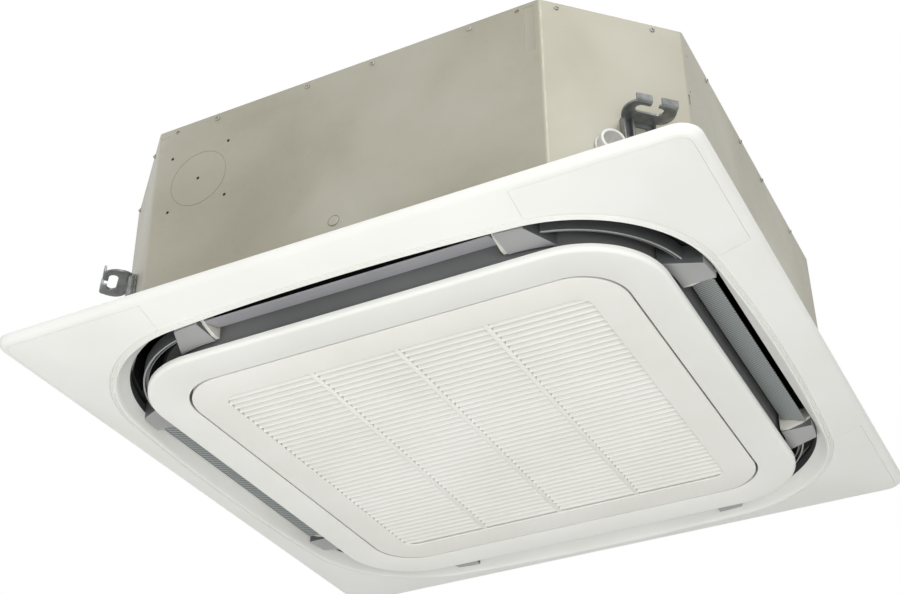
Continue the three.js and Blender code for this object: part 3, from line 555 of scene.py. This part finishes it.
def rodPiece(name, start, end, radius, sides=32, bevelMm=0.0, tipRadius=None):
    # a cylinder between two points in mm, its rims bevelled in edit mode
    a, b = Vector(start) * mm, Vector(end) * mm
    deselectAll()
    bpy.ops.mesh.primitive_cone_add(
        vertices=sides,
        radius1=radius * mm,
        radius2=(radius if tipRadius is None else tipRadius) * mm,
        depth=(b - a).length,
    )
    piece = bpy.context.object
    piece.name = name
    if bevelMm:
        editMode(piece, False)
        mesh = bmesh.from_edit_mesh(piece.data)
        for edge in mesh.edges:
            edge.select = abs(edge.verts[0].co.z - edge.verts[1].co.z) < 1e-6
        bmesh.update_edit_mesh(piece.data)
        bpy.ops.mesh.bevel(offset=bevelMm * mm, segments=3, affect="EDGES")
        bpy.ops.object.mode_set(mode="OBJECT")
    turn = (b - a).to_track_quat("Z", "Y").to_matrix().to_4x4()
    piece.data.transform(Matrix.Translation((a + b) / 2) @ turn)
    return cleanUp(piece)


def turnCopy(piece, name, degrees):
    # a copy with its own mesh, turned round the unit's axis
    copy = piece.copy()
    copy.data = piece.data.copy()
    copy.name = name
    bpy.context.scene.collection.objects.link(copy)
    copy.data.transform(Matrix.Rotation(math.radians(degrees), 4, "Z"))
    return copy


def joinPieces(pieces, name):
    choose(pieces[0])
    for piece in pieces[1:]:
        piece.select_set(True)
    bpy.ops.object.join()
    joined = bpy.context.object
    joined.name = name
    return joined


def carve(piece, cutters, operation="DIFFERENCE"):
    for cutter in cutters:
        choose(piece)
        modifier = piece.modifiers.new("carve", "BOOLEAN")
        modifier.operation = operation
        modifier.solver = "EXACT"
        modifier.object = cutter
        bpy.ops.object.modifier_apply(modifier=modifier.name)
        bpy.data.objects.remove(cutter)
    return piece


def roundEdges(piece, widthMm, segments=2, overDegrees=30, smoothDegrees=30):
    choose(piece)
    modifier = piece.modifiers.new("round", "BEVEL")
    modifier.width = widthMm * mm
    modifier.segments = segments
    modifier.limit_method = "ANGLE"
    modifier.angle_limit = math.radians(overDegrees)
    modifier.harden_normals = False
    bpy.ops.object.modifier_apply(modifier=modifier.name)
    bpy.ops.object.shade_smooth_by_angle(angle=math.radians(smoothDegrees))
    return piece


def fromNode(name, node, flatDegrees=1.0):
    # a copy of a CAD node as a proper mesh: doubles merged and flat faces made whole
    copy = nodes[node].copy()
    copy.data = nodes[node].data.copy()
    copy.name = name
    for key in list(copy.keys()):
        del copy[key]
    copy.parent = None
    bpy.context.scene.collection.objects.link(copy)
    editMode(copy)
    bpy.ops.mesh.remove_doubles(threshold=0.01 * mm)
    bpy.ops.mesh.dissolve_limited(angle_limit=math.radians(flatDegrees))
    bpy.ops.object.mode_set(mode="OBJECT")
    return copy


def finishPiece(piece, material, body, node=None):
    piece.data.materials.clear()
    piece.data.materials.append(material)
    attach(piece, body)
    if node:
        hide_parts(*([node] if isinstance(node, str) else node))
    return piece


deselectAll()
makeCamera()
makeStudio()
finishes = makeMaterials()
print("camera, studio and materials made")


# panel frame and corner covers
frameShape = {
    "rim": (475, 28, 0),
    "lip": (430.5, 201, 3000),
    "slot": (406, 204, 0),
    "ribDepth": 1.4,  # fine lines round the opening
    "ribLines": (430.7, 428.5, 426.3),
    "coverMargin": 463,
    "coverStart": 250,
}


def rimAt(half):
    return inset(frameShape["rim"], 475 - half)


def lipAt(half):
    return inset(frameShape["lip"], 430.5 - half)


def slotAt(half):
    return inset(frameShape["slot"], 406 - half)


def frameUnderside():
    # from the ceiling edge down over the rounded rim, in to the fine lines and over the lip
    rimCurve = [
        (475, 0), (475, -2), (474.8, -3.3), (474.2, -4.6), (473.1, -6.2), (471.4, -7.6), (469.3, -9.0),
        (467, -10.1),
    ]
    loops = [(rimAt(half), z) for half, z in rimCurve]
    slope = lambda half: -22.9 - (432 - half) / 3
    loops.append((lipAt(432), -22.9))
    for line in frameShape["ribLines"]:
        depth = frameShape["ribDepth"]
        loops += [
            (lipAt(line + 0.8), slope(line + 0.8)),
            (lipAt(line + 0.15), slope(line) + depth),
            (lipAt(line - 0.15), slope(line) + depth),
            (lipAt(line - 0.8), slope(line - 0.8)),
        ]
    loops += [(lipAt(424.9), -25.2), (lipAt(423.8), -25.2), (lipAt(422.9), -24.6)]
    cove = [(0.06, -23), (0.2, -20.3), (0.36, -17.6), (0.54, -14.8), (0.72, -12.4), (0.88, -10.2)]
    loops += [((lipAt(422.2), slotAt(406.3), share), z) for share, z in cove]
    return loops + [(slotAt(406.3), -8.7)]


def makeFrame():
    loops = frameUnderside() + [
        (slotAt(409.4), -8.6),
        (slotAt(411.5), -6.4),
        (lipAt(432), -17.3),
        (rimAt(469.2), -3.9),
        (rimAt(471.2), -2.4),
        (rimAt(471.2), 0),
    ]
    return ringPiece("panelFrame", loops, rimStops, 32)


def coverSlab(name, low, high):
    # a slab that follows the frame's underside, raised from it by low to high
    heights = [(rimAt(467), -10.1), (lipAt(432), -22.9), (lipAt(427.5), -24.4)]
    loops = [(o, z + low) for o, z in heights] + [(o, z + high) for o, z in reversed(heights)]
    return ringPiece(name, loops, rimStops, 20)


def coverBlock(name, margin):
    # ground plan of a corner cover at the front right, as a tall block
    outer, start = frameShape["coverMargin"] + margin, frameShape["coverStart"] - margin
    outerLine = (outer, 16 + margin, 0)
    innerLine = lipAt(432.1 - margin)
    stops = [*range(20, 43, 2), 43.26, 43.8, 44.4, 45, 45.6, 46.2, 46.74, *range(48, 71, 2)]
    angles = [math.radians(stop - 90) for stop in stops]
    line = lambda outline: [
        (reachOf(outline, a) * math.cos(a), reachOf(outline, a) * math.sin(a)) for a in angles
    ]
    far = [p for p in line(outerLine) if p[0] > start and p[1] < -start]
    near = [p for p in line(innerLine) if p[0] > start and p[1] < -start]

    def crossing(outline):
        # where the outline meets the straight ends of the cover
        low, high = math.radians(-90), math.radians(-45)
        for _ in range(50):
            a = (low + high) / 2
            low, high = (a, high) if reachOf(outline, a) * math.cos(a) < start else (low, a)
        r = reachOf(outline, a)
        return (r * math.cos(a), r * math.sin(a))

    first, inner = crossing(outerLine), crossing(innerLine)
    flip = lambda p: (-p[1], -p[0])
    outline = [first, *far, flip(first), flip(inner), *reversed(near), inner]
    return platePiece(name, outline, -60, 20)


def makeCorners(panel):
    cover = carve(coverSlab("cornerCover", 0, 3), [coverBlock("plan", -0.3)], "INTERSECT")
    cleanUp(cover, 20)
    for index, corner in enumerate(cornerNames):
        piece = turnCopy(cover, "cornerCover_" + corner, 90 * index)
        finishPiece(piece, finishes["panelAbs"], "body", "corner_cover_" + corner)
    bpy.data.objects.remove(cover)
    pocket = carve(coverSlab("pocket", -12, 3.4), [coverBlock("plan", 0)], "INTERSECT")
    cutters = [turnCopy(pocket, "pocket%d" % i, 90 * i) for i in range(4)]
    bpy.data.objects.remove(pocket)
    carve(panel, cutters)
    cleanUp(panel, 32)
    finishPiece(panel, finishes["panelAbs"], "body", "panel_frame")


makeCorners(makeFrame())
print("panel frame and corner covers made")


# air outlet: grey rings, corner ducts, flaps and their bearings
outletShape = {
    "duct": (359, 150, 0),
    "blockStart": 204.0,
    "blockLow": -19.0,
    "blockTop": 7.2,
    "vaneCentre": 210.0,
    "vaneRadius": 174.0,
    "vaneThick": 2.4,
    "vaneLow": -14.0,
}


def ductAt(half):
    return inset(outletShape["duct"], 359 - half)


def makeRings():
    outer = [
        (slotAt(406), -8.2), (slotAt(408.2), -8.2), (slotAt(408.2), 0.5), (slotAt(416), 0.5),
        (slotAt(416), 3), (slotAt(406), 3),
    ]
    ring = ringPiece("outletOuterRing", outer, slotStops)
    finishPiece(ring, finishes["ringAbs"], "body", "outlet_outer_ring")
    curve = [
        (361.4, -26.4), (359.8, -24.4), (358.4, -22.4), (357.3, -20), (356.4, -16.8), (355.8, -13),
        (355.5, -8), (355.9, -3), (357, 2), (358.2, 6), (359.6, 9.4),
    ]
    seam = (318, 75, 0)
    inner = [(ductAt(h), z) for h, z in curve] + [
        (seam, 9.4), (seam, 7.2), (ductAt(356.6), 7.2), (ductAt(354.6), 1), (ductAt(353), -8),
        (ductAt(354.4), -19.6), (ductAt(358.6), -26.4),
    ]
    ring = ringPiece("outletInnerRing", inner, slotStops, 40)
    # the inner ring takes the lowered grey, partly painted shade for the slot under the flaps
    finishPiece(ring, finishes["innerRingAbs"], "body", "outlet_inner_ring")


makeRings()


def arcPoints(centre, radius, start, end, steps):
    cx, cy = centre
    angles = [math.radians(start + (end - start) * i / steps) for i in range(steps + 1)]
    return [(cx + radius * math.cos(a), cy + radius * math.sin(a)) for a in angles]


def blockOutline(shrink):
    # ground plan of the hollow block at the right-hand end of the front flap
    outer, inner = slotAt(405.2 - shrink), ductAt(361.5 + shrink)
    start = outletShape["blockStart"] + shrink

    def onLine(outline, x):
        # y of the outline at this x, on the front side
        half, corner, _ = outline
        middle = half - corner
        return -half if x <= middle else -(middle + math.sqrt(corner**2 - (x - middle) ** 2))

    outerX, innerX = 240 - shrink, 262.5 - shrink
    far = [start + (outerX - start) * i / 6 for i in range(7)]
    near = [innerX - (innerX - start) * i / 8 for i in range(9)]
    return [(x, onLine(outer, x)) for x in far] + [(x, onLine(inner, x)) for x in near]


def makeCornerDuct():
    low, top, wall = outletShape["blockLow"], outletShape["blockTop"], 2.2
    blocks = []
    for flip in (False, True):
        turned = lambda points: [(-y, -x) for x, y in reversed(points)] if flip else points
        block = platePiece("block", turned(blockOutline(0)), low, top)
        carve(block, [platePiece("hollow", turned(blockOutline(wall)), low + wall, 20)])
        blocks.append(roundEdges(cleanUp(block), 0.5, 2, 50))
    shape = outletShape
    centre = (shape["vaneCentre"], -shape["vaneCentre"])
    # two ridges of the vane stand side by side, the inner one lower
    pieces = []
    ridges = ((shape["vaneRadius"], 2.4, shape["vaneLow"]), (shape["vaneRadius"] - 5.2, 1.8, -11.5))
    for radius, thick, bottom in ridges:
        outline = arcPoints(centre, radius + thick / 2, -76, -14, 40)
        outline += arcPoints(centre, radius - thick / 2, -14, -76, 40)
        pieces.append(roundEdges(platePiece("ridge", outline, bottom, 6), 0.6, 2, 50))
    floor = arcPoints(centre, shape["vaneRadius"], -76, -14, 40)
    floor += arcPoints(centre, shape["vaneRadius"] - 6, -14, -76, 40)
    pieces.append(platePiece("web", floor, -7, -5.5))
    duct = joinPieces([*blocks, *pieces], "cornerDuct")
    for index, corner in enumerate(cornerNames):
        piece = turnCopy(duct, "cornerDuct_" + corner, 90 * index)
        finishPiece(piece, finishes["ductAbs"], "body", "corner_duct_" + corner)
        # painted shade: the vane's ridges and the web between them, above its lower lip, take the dark
        # outer-ring grey for the shade deep in the duct
        piece.data.materials.append(finishes["ringAbs"])
        axis = Matrix.Rotation(math.radians(90 * index), 3, "Z") @ Vector((*centre, 0)) * mm
        for face in piece.data.polygons:
            out = (face.center.xy - axis.xy).length / mm
            reach = shape["vaneRadius"] - 8 < out < shape["vaneRadius"] + 2
            face.material_index = int(reach and face.center.z > (shape["vaneLow"] + 2) * mm)
    bpy.data.objects.remove(duct)


makeCornerDuct()

flapShape = {
    "length": 394.0,
    "pivotRadius": 384.0,
    "pivotHeight": -4.5,
    "chord": 36.3,
    "tiltDegrees": 18.0,
    "behindPivot": 18.0,
    "cornerRadius": 5.0,
}


def flapSpot(share, off):
    # a point of the flap's section: share of the chord, and height off its camber line
    shape = flapShape
    slope = math.radians(shape["tiltDegrees"])
    along = -shape["behindPivot"] + shape["chord"] * share
    up = -4 + 4.4 * share * (1 - share) + off
    y = -(shape["pivotRadius"] + along * math.cos(slope) + up * math.sin(slope))
    z = shape["pivotHeight"] - along * math.sin(slope) + up * math.cos(slope)
    return (y, z)


def makeFlap():
    half = flapShape["length"] / 2
    shares = [0.03 + 0.94 * i / 14 for i in range(15)]
    thick = lambda s: 0.35 + 1.25 * (1 - (2 * s - 1) ** 4) ** 0.5
    upper = [flapSpot(s, thick(s)) for s in shares]
    lower = [flapSpot(s, -thick(s)) for s in reversed(shares)]
    blade = barPiece("blade", upper + lower, -half, half, 40)
    shape = flapShape
    y, z = -shape["pivotRadius"], shape["pivotHeight"]
    r = shape["cornerRadius"]
    near, far = y - 17.3, y + 19
    plan = arcPoints((half - r, near + r), r, -90, 0, 6) + arcPoints((half - r, far - r), r, 0, 90, 6)
    plan += arcPoints((r - half, far - r), r, 90, 180, 6) + arcPoints((r - half, near + r), r, 180, 270, 6)
    carve(blade, [platePiece("plan", plan, -60, 60)], "INTERSECT")
    roundEdges(cleanUp(blade, 40), 0.4, 2, 60, 40)
    parts = [blade]
    for side in (-1, 1):
        web = [(y - 4, z + 2), (y + 4, z + 2), flapSpot(0.25, 0), flapSpot(0.75, 0)]
        x0, x1 = sorted((side * half, side * (half - 5)))
        parts.append(barPiece("web", web, x0, x1))
        parts.append(rodPiece("stub", (side * 190, y, z), (side * 203, y, z), 2.6, 24, 0.4))
    flap = joinPieces(parts, "flap")
    for index, side in enumerate(sideNames):
        piece = turnCopy(flap, "flapBlade_" + side, 90 * index)
        look = "flapRibbed" if side in ("right", "left") else "flapSmooth"
        finishPiece(piece, finishes[look], "flap_" + side, "flap_" + side)
    bpy.data.objects.remove(flap)


makeFlap()
print("outlet rings, corner ducts and flaps made")


# fixed inner panel and suction grille
innerShape = {
    "edge": (362, 112, 0),
    "seam": (310, 67, 0),
    "face": -36.0,
}
grilleShape = {
    "edge": (307.5, 67.5, 0),
    "mouth": (260, 20, 0),
    "firstSlat": -256.5,
    "pitch": 12.0,
    "count": 44,
    "ribAt": (-124, 0, 124),
}


def makeInnerPanel():
    edge = lambda half: inset(innerShape["edge"], 362 - half)
    seam = lambda half: inset(innerShape["seam"], 310 - half)
    rounding = [
        (362, -27), (362, -30.6), (361.7, -32.3), (360.9, -33.9), (359.6, -35.1), (358, -35.8), (356, -36),
    ]
    loops = [(edge(h), z) for h, z in rounding] + [
        (seam(311.1), -36), (seam(310.4), -35.8), (seam(310), -35.2), (seam(310), -33.4),
        (seam(313), -33), (seam(313), 6.6), (seam(315.5), 6.6), (seam(315.5), -33.4),
        (edge(355.5), -33.4), (edge(358.4), -32), (edge(359.6), -30), (edge(359.6), -27),
    ]
    stops = [(34.6, 6), (38, 3), (45, 13)]
    panel = ringPiece("innerPanel", loops, stops, 30)
    finishPiece(panel, finishes["panelAbs"], "body", "inner_panel")


makeInnerPanel()


def makeGrille():
    edge = lambda half: inset(grilleShape["edge"], 307.5 - half)
    mouth = lambda half: inset(grilleShape["mouth"], 260 - half)
    loops = [
        (edge(306.4), -36), (edge(307.1), -35.8), (edge(307.5), -35.2), (edge(307.5), -26),
        (edge(305.3), -26), (edge(305.3), -33.5), (mouth(264), -33.5), (mouth(264), -26.5),
        (mouth(262), -26.5), (mouth(260), -34.6), (mouth(260.3), -35.4), (mouth(261), -36),
    ]
    border = ringPiece("border", loops, seamStops, 30)
    notch = lambda x0, x1, y0, y1, z0, z1: boxPiece("notch", (x0, y0, z0), (x1, y1, z1))
    cutters = []
    for side in (-1, 1):
        x = sorted((side * 209 - 5, side * 209 + 5))
        cutters.append(notch(*x, 302, 312, -33.5, 0))
        cutters.append(notch(side * 213 - 9, side * 213 + 9, 281, 287, -35.1, -30))
        cutters.append(notch(side * 180 - 13, side * 180 + 13, -312, -302, -33.5, 0))
    carve(border, cutters)
    cleanUp(border, 30)
    count, pitch = grilleShape["count"], grilleShape["pitch"]
    # a slat leans back; its lower nose is rounded
    section = [
        (3.0, -35.0), (3.3, -35.4), (3.9, -35.6), (4.9, -35.6), (5.5, -35.3), (5.7, -34.8), (5.5, -34.2),
        (-0.4, -27.6), (-2.6, -27.6),
    ]
    start = grilleShape["firstSlat"]
    slat = barPiece("slat", [(y + start, z) for y, z in section], -261.6, 261.6, 40)
    choose(slat)
    array = slat.modifiers.new("repeat", "ARRAY")
    array.count = count
    array.use_relative_offset = False
    array.use_constant_offset = True
    array.constant_offset_displace = (0, pitch * mm, 0)
    bpy.ops.object.modifier_apply(modifier=array.name)
    ribs = [
        boxPiece("rib", (x - 3.5, -262.6, -35.4), (x + 3.5, 262.6, -24.4), 0.8) for x in grilleShape["ribAt"]
    ]
    ears = []
    for side in (-1, 1):
        x0, x1 = sorted((side * 213.5, side * 218.5))
        ears.append(
            carve(
                boxPiece("ear", (x0, 280, -35.3), (x1, 288, -29.2), 0.6),
                [rodPiece("hole", (x0 - 2, 284, -33.2), (x1 + 2, 284, -33.2), 1.8, 20)],
            )
        )
    grille = joinPieces([border, slat, *ribs, *ears], "suctionGrille")
    finishPiece(grille, finishes["grilleAbs"], "grille", "suction_grille")


makeGrille()
print("inner panel and suction grille made")


# sheet-metal casing
casingShape = {
    "half": 420.0,
    "chamfer": 137.0,
    "low": 8.0,
    "top": 306.0,
    "sheet": 1.5,
    "bendRadius": 2.5,
    "knockout": (-212, 204, 43.0),  # scribed circle on the front
    "knockoutHoles": ((-169, 252), (-258, 253), (-168, 162), (-257, 163), (-213, 205)),
    "slingHoles": ((-254, 298), (253, 298)),
    "screws": (-190, -49, 48, 187),
    "dimple": (-1, 62, 7.0),
    "drain": (-19.5, 88, 17.0),
}
chamferFace = (2 * casingShape["half"] - casingShape["chamfer"]) / math.sqrt(2)


def octagonOutline(distance):
    half = casingShape["half"] - distance
    near = math.sqrt(2) * (chamferFace - distance) - half
    corners = [(half, -near), (half, near), (near, half), (-near, half)]
    return corners + [(-x, -y) for x, y in corners]


def chamferSpot(out, side, z, turn=0):
    # a point of the front right corner: out from the chamfer, side along it towards +X
    x, y = (out + side) / math.sqrt(2), (-out + side) / math.sqrt(2)
    spot = Matrix.Rotation(math.radians(turn), 4, "Z") @ Vector((x, y, z))
    return tuple(spot)


def makeCasing():
    shape = casingShape
    wall = platePiece("casing", octagonOutline(0), shape["low"], shape["top"])
    editMode(wall, False)
    mesh = bmesh.from_edit_mesh(wall.data)
    for edge in mesh.edges:
        edge.select = abs(edge.verts[0].co.z - edge.verts[1].co.z) > 0.1
    bmesh.update_edit_mesh(wall.data)
    bpy.ops.mesh.bevel(offset=shape["bendRadius"] * mm, segments=4, affect="EDGES")
    bpy.ops.object.mode_set(mode="OBJECT")
    hollow = platePiece("hollow", octagonOutline(shape["sheet"]), 9.5, 320)
    mouth = platePiece("mouth", octagonOutline(12), 0, 20)
    carve(wall, [hollow, mouth])
    front = -shape["half"]
    cutters = [
        rodPiece("hole", (x, front - 4, z), (x, front + 4, z), 2.4 if i < 5 else 3, 16)
        for i, (x, z) in enumerate([*shape["knockoutHoles"], *shape["slingHoles"]])
    ]
    # scribed circle: a shallow groove round the knockout
    x, z, radius = shape["knockout"]
    disc = rodPiece("disc", (x, front - 1, z), (x, front + 0.5, z), radius + 0.5, 64)
    core = rodPiece("core", (x, front - 2, z), (x, front + 2, z), radius - 0.5, 64)
    cutters.append(carve(disc, [core]))
    x, z, radius = shape["dimple"]
    disc = rodPiece("disc", (x, front - 1, z), (x, front + 0.9, z), radius + 1.2, 40)
    core = rodPiece("core", (x, front - 2, z), (x, front + 2, z), radius - 0.2, 40)
    cutters.append(carve(disc, [core]))
    # pressed strips near the ends of the front
    cutters.append(boxPiece("strip", (262, front - 1, 226), (276, front + 0.8, 300), 0.5))
    cutters.append(boxPiece("strip", (-282, front - 1, 270), (-268, front + 0.8, 296), 0.5))
    side, height, radius = shape["drain"]
    ends = [chamferSpot(chamferFace + out, side, height) for out in (-6, 6)]
    cutters.append(rodPiece("drain", *ends, radius, 40))
    cutters.append(rodPiece("cable", (front - 4, -150, 120), (front + 4, -150, 120), 17, 40))
    window = boxPiece("window", (12, -chamferFace - 6, 92), (86, -chamferFace + 6, 178))
    window.data.transform(Matrix.Rotation(math.radians(135), 4, "Z"))
    cutters.append(window)
    for place in ((-271, 274), (-275, 212)):
        cutters.append(rodPiece("dot", (416, place[0], place[1]), (424, place[0], place[1]), 1.8, 12))
    cutters.append(boxPiece("slit", (418, -283, 186), (422, -279.5, 203)))
    carve(wall, cutters)
    cleanUp(wall, 30)
    finishPiece(wall, finishes["casingSheet"], "body", "casing_wrap")


def makeScrew():
    # pan head, 6 mm across, with a cross recess
    head = rodPiece("screwHead", (0, 0, 0), (0, 0, 1.7), 3.4, 24, 0.9)
    for turn in (0, 90):
        slot = boxPiece("slot", (-2, -0.4, 0.9), (2, 0.4, 3))
        slot.data.transform(Matrix.Rotation(math.radians(turn), 4, "Z"))
        carve(head, [slot])
    return cleanUp(head)


def placeScrew(screw, name, spot, normal):
    copy = screw.copy()
    copy.data = screw.data.copy()
    copy.name = name
    bpy.context.scene.collection.objects.link(copy)
    turn = Vector(normal).to_track_quat("Z", "Y").to_matrix().to_4x4()
    copy.data.transform(Matrix.Translation(Vector(spot) * mm) @ turn)
    return copy


def makeCasingScrews():
    screw = makeScrew()
    spots = []
    for turn in (0, 90, 180, 270):
        spin = Matrix.Rotation(math.radians(turn), 3, "Z")
        for x in casingShape["screws"]:
            spots.append((spin @ Vector((x, -casingShape["half"], 298)), spin @ Vector((0, -1, 0))))
        for side in (-74, 56):
            spots.append((Vector(chamferSpot(chamferFace, side, 298, turn)), spin @ Vector((1, -1, 0))))
    screws = [placeScrew(screw, "casingScrew", spot, normal) for spot, normal in spots]
    bpy.data.objects.remove(screw)
    piece = joinPieces(screws, "casingScrews")
    finishPiece(piece, finishes["screwSteel"], "body", None)
    x, z, radius = casingShape["dimple"]
    front = -casingShape["half"]
    dimple = rodPiece("pressedDimple", (x, front + 0.2, z), (x, front - 1.0, z), radius, 32, 0.6)
    finishPiece(dimple, finishes["casingSheet"], "body", None)


makeCasing()
makeCasingScrews()
lid = roundEdges(fromNode("casingTop", "casing_top"), 0.8, 2, 35, 12)
finishPiece(lid, finishes["casingSheet"], "body", "casing_top")
print("casing made")


# slotted brackets for the suspension rods
bracketShape = {
    "slotSide": 24.75,  # slot's centre along the chamfer
    "slotOut": 29.7,  # and out from it
    "slotHalf": 18.0,
    "slotRadius": 6.3,
    "mouth": (-1.5, 8.5),
    "fold": 41.5,
    "height": 133.0,
    "thick": 3.2,
}


def quadratic(a, b, c, steps):
    spots = []
    for i in range(1, steps + 1):
        t = i / steps
        spots.append(tuple((1 - t) ** 2 * p + 2 * t * (1 - t) * q + t * t * r for p, q, r in zip(a, b, c)))
    return spots


def bracketOutline():
    shape = bracketShape
    out, half, radius, fold = shape["slotOut"], shape["slotHalf"], shape["slotRadius"], shape["fold"]
    left, right = shape["mouth"]
    line = [(-26, 0.3), (-26, 7)]
    line += quadratic((-26, 7), (-31, 12), (-31, 24), 6)
    line += quadratic((-31, 24), (-30, 35), (-22, fold), 8)
    line += [(left, fold), (left, out + radius), (-half + radius, out + radius)]
    line += arcPoints((-half + radius, out), radius, 90, 270, 14)[1:]
    line += [(half - radius, out - radius)]
    line += arcPoints((half - radius, out), radius, -90, 90, 14)[1:]
    line += [(right, out + radius), (right, fold), (30, fold)]
    line += quadratic((30, fold), (35, 34), (34, 22), 8)
    line += quadratic((34, 22), (31, 10), (18, 7), 6)
    return line + [(18, 0.3)]


def makeBracket():
    shape = bracketShape
    z, thick, fold = shape["height"], shape["thick"], shape["fold"]
    tongue = roundEdges(platePiece("tongue", bracketOutline(), z, z + thick), 0.5, 2, 40)
    lips = []
    for x0, x1 in ((-22, shape["mouth"][0]), (shape["mouth"][1] + 2, 32)):
        # each lip turns up from the plate's edge through a bend
        bend = [
            (-3.2, 0), (-1.2, 0.1), (1.0, 0.9), (2.4, 2.4), (2.6, 4), (2.6, 11.5), (-0.6, 11.5), (-0.6, 4.6),
            (-1.4, 3.4), (-3.2, 3.2),
        ]
        section = [(fold + y, z + up) for y, up in bend]
        lips.append(roundEdges(barPiece("lip", section, x0, x1, 40), 0.5, 2, 50))
    foot = platePiece("foot", [(-26, 80), (-20, 70), (12, 70), (18, 80), (18, z + 1), (-26, z + 1)], 0, 3)
    carve(foot, [platePiece("window", [(-8, 92), (8, 92), (8, z - 4), (-8, z - 4)], -2, 5)])
    foot.data.transform(Matrix.Rotation(math.radians(90), 4, "X"))
    foot.data.transform(Matrix.Translation((0, 3.3 * mm, 0)))
    roundEdges(cleanUp(foot), 0.5, 2, 40)
    beads = [boxPiece("bead", (x, 2.6, 84), (x + 3.2, 12, z + 1), 1.2, 3) for x in (-26, -15)]
    gusset = boxPiece("gusset", (14.8, 2.6, 96), (18, 9, z + 1), 1.2, 3)
    bracket = joinPieces([tongue, *lips, foot, *beads, gusset], "bracket")
    bracket.data.transform(Matrix.Translation((shape["slotSide"] * mm, 0, 0)))
    for index, corner in enumerate(cornerNames):
        copy = bracket.copy()
        copy.data = bracket.data.copy()
        copy.name = "hangerBracket_" + corner
        bpy.context.scene.collection.objects.link(copy)
        if index % 2 == 0:
            copy.data.transform(Matrix.Scale(-1, 4, (1, 0, 0)))
            copy.data.flip_normals()
        copy.data.transform(Matrix.Translation((0, chamferFace * mm, 0)))
        copy.data.transform(Matrix.Rotation(math.radians(-135 + 90 * index), 4, "Z"))
        finishPiece(copy, finishes["bracketSteel"], "body", "hanger_" + corner)
    bpy.data.objects.remove(bracket)


makeBracket()
print("brackets made")


# drain socket
drainShape = {
    "side": -19.5,
    "height": 88,
    "out": 18,
    "radius": 16,
    "bore": 12.5,
}


def makeDrainSocket():
    shape = drainShape
    place = lambda out: chamferSpot(chamferFace + out, shape["side"], shape["height"])
    barrel = rodPiece("drainPipe", place(-14), place(shape["out"]), shape["radius"], 48, 0.8)
    collar = rodPiece("collar", place(0.3), place(4), shape["radius"] + 1.5, 48, 0.6)
    carve(barrel, [collar], "UNION")
    carve(barrel, [rodPiece("bore", place(-6), place(shape["out"] + 20), shape["bore"], 48)])
    cleanUp(barrel)
    finishPiece(barrel, finishes["pvc"], "body", "drain_socket")


makeDrainSocket()


# what stays as the CAD made it gets its finish
nodeFinish = {
    "foam_liner": "darkFoam",
    "drain_pan": "darkFoam",
    "heat_exchanger": "fins",
    "tube_plate_back": "copper",
    "tube_plate_right": "copper",
    "gas_pipe": "copper",
    "liquid_pipe": "copper",
    "pipe_cover": "casingSheet",
    "drain_pump": "pvc",
    "float_switch": "pvc",
    "cable_grommet": "rubber",
    "fan_motor": "motorCan",
    "fan_impeller": "fanPlastic",
    "fan_nut": "brass",
    "bell_mouth": "panelAbs",
    "control_box": "casingSheet",
    "control_box_lid": "casingSheet",
    "panel_seal": "rubber",
    "air_filter": "net",
    "grille_hinge_left": "panelAbs",
    "grille_hinge_right": "panelAbs",
    "grille_latch_left": "grilleAbs",
    "grille_latch_right": "grilleAbs",
}
for side in sideNames:
    nodeFinish["flap_motor_" + side] = "motorCan"
    nodeFinish["flap_bearing_%s_a" % side] = "cheekAbs"
    nodeFinish["flap_bearing_%s_b" % side] = "cheekAbs"
for name, finish in nodeFinish.items():
    data = nodes[name].data
    data.materials.clear()
    data.materials.append(finishes[finish])
print("finishes given to", len(nodeFinish), "CAD nodes")
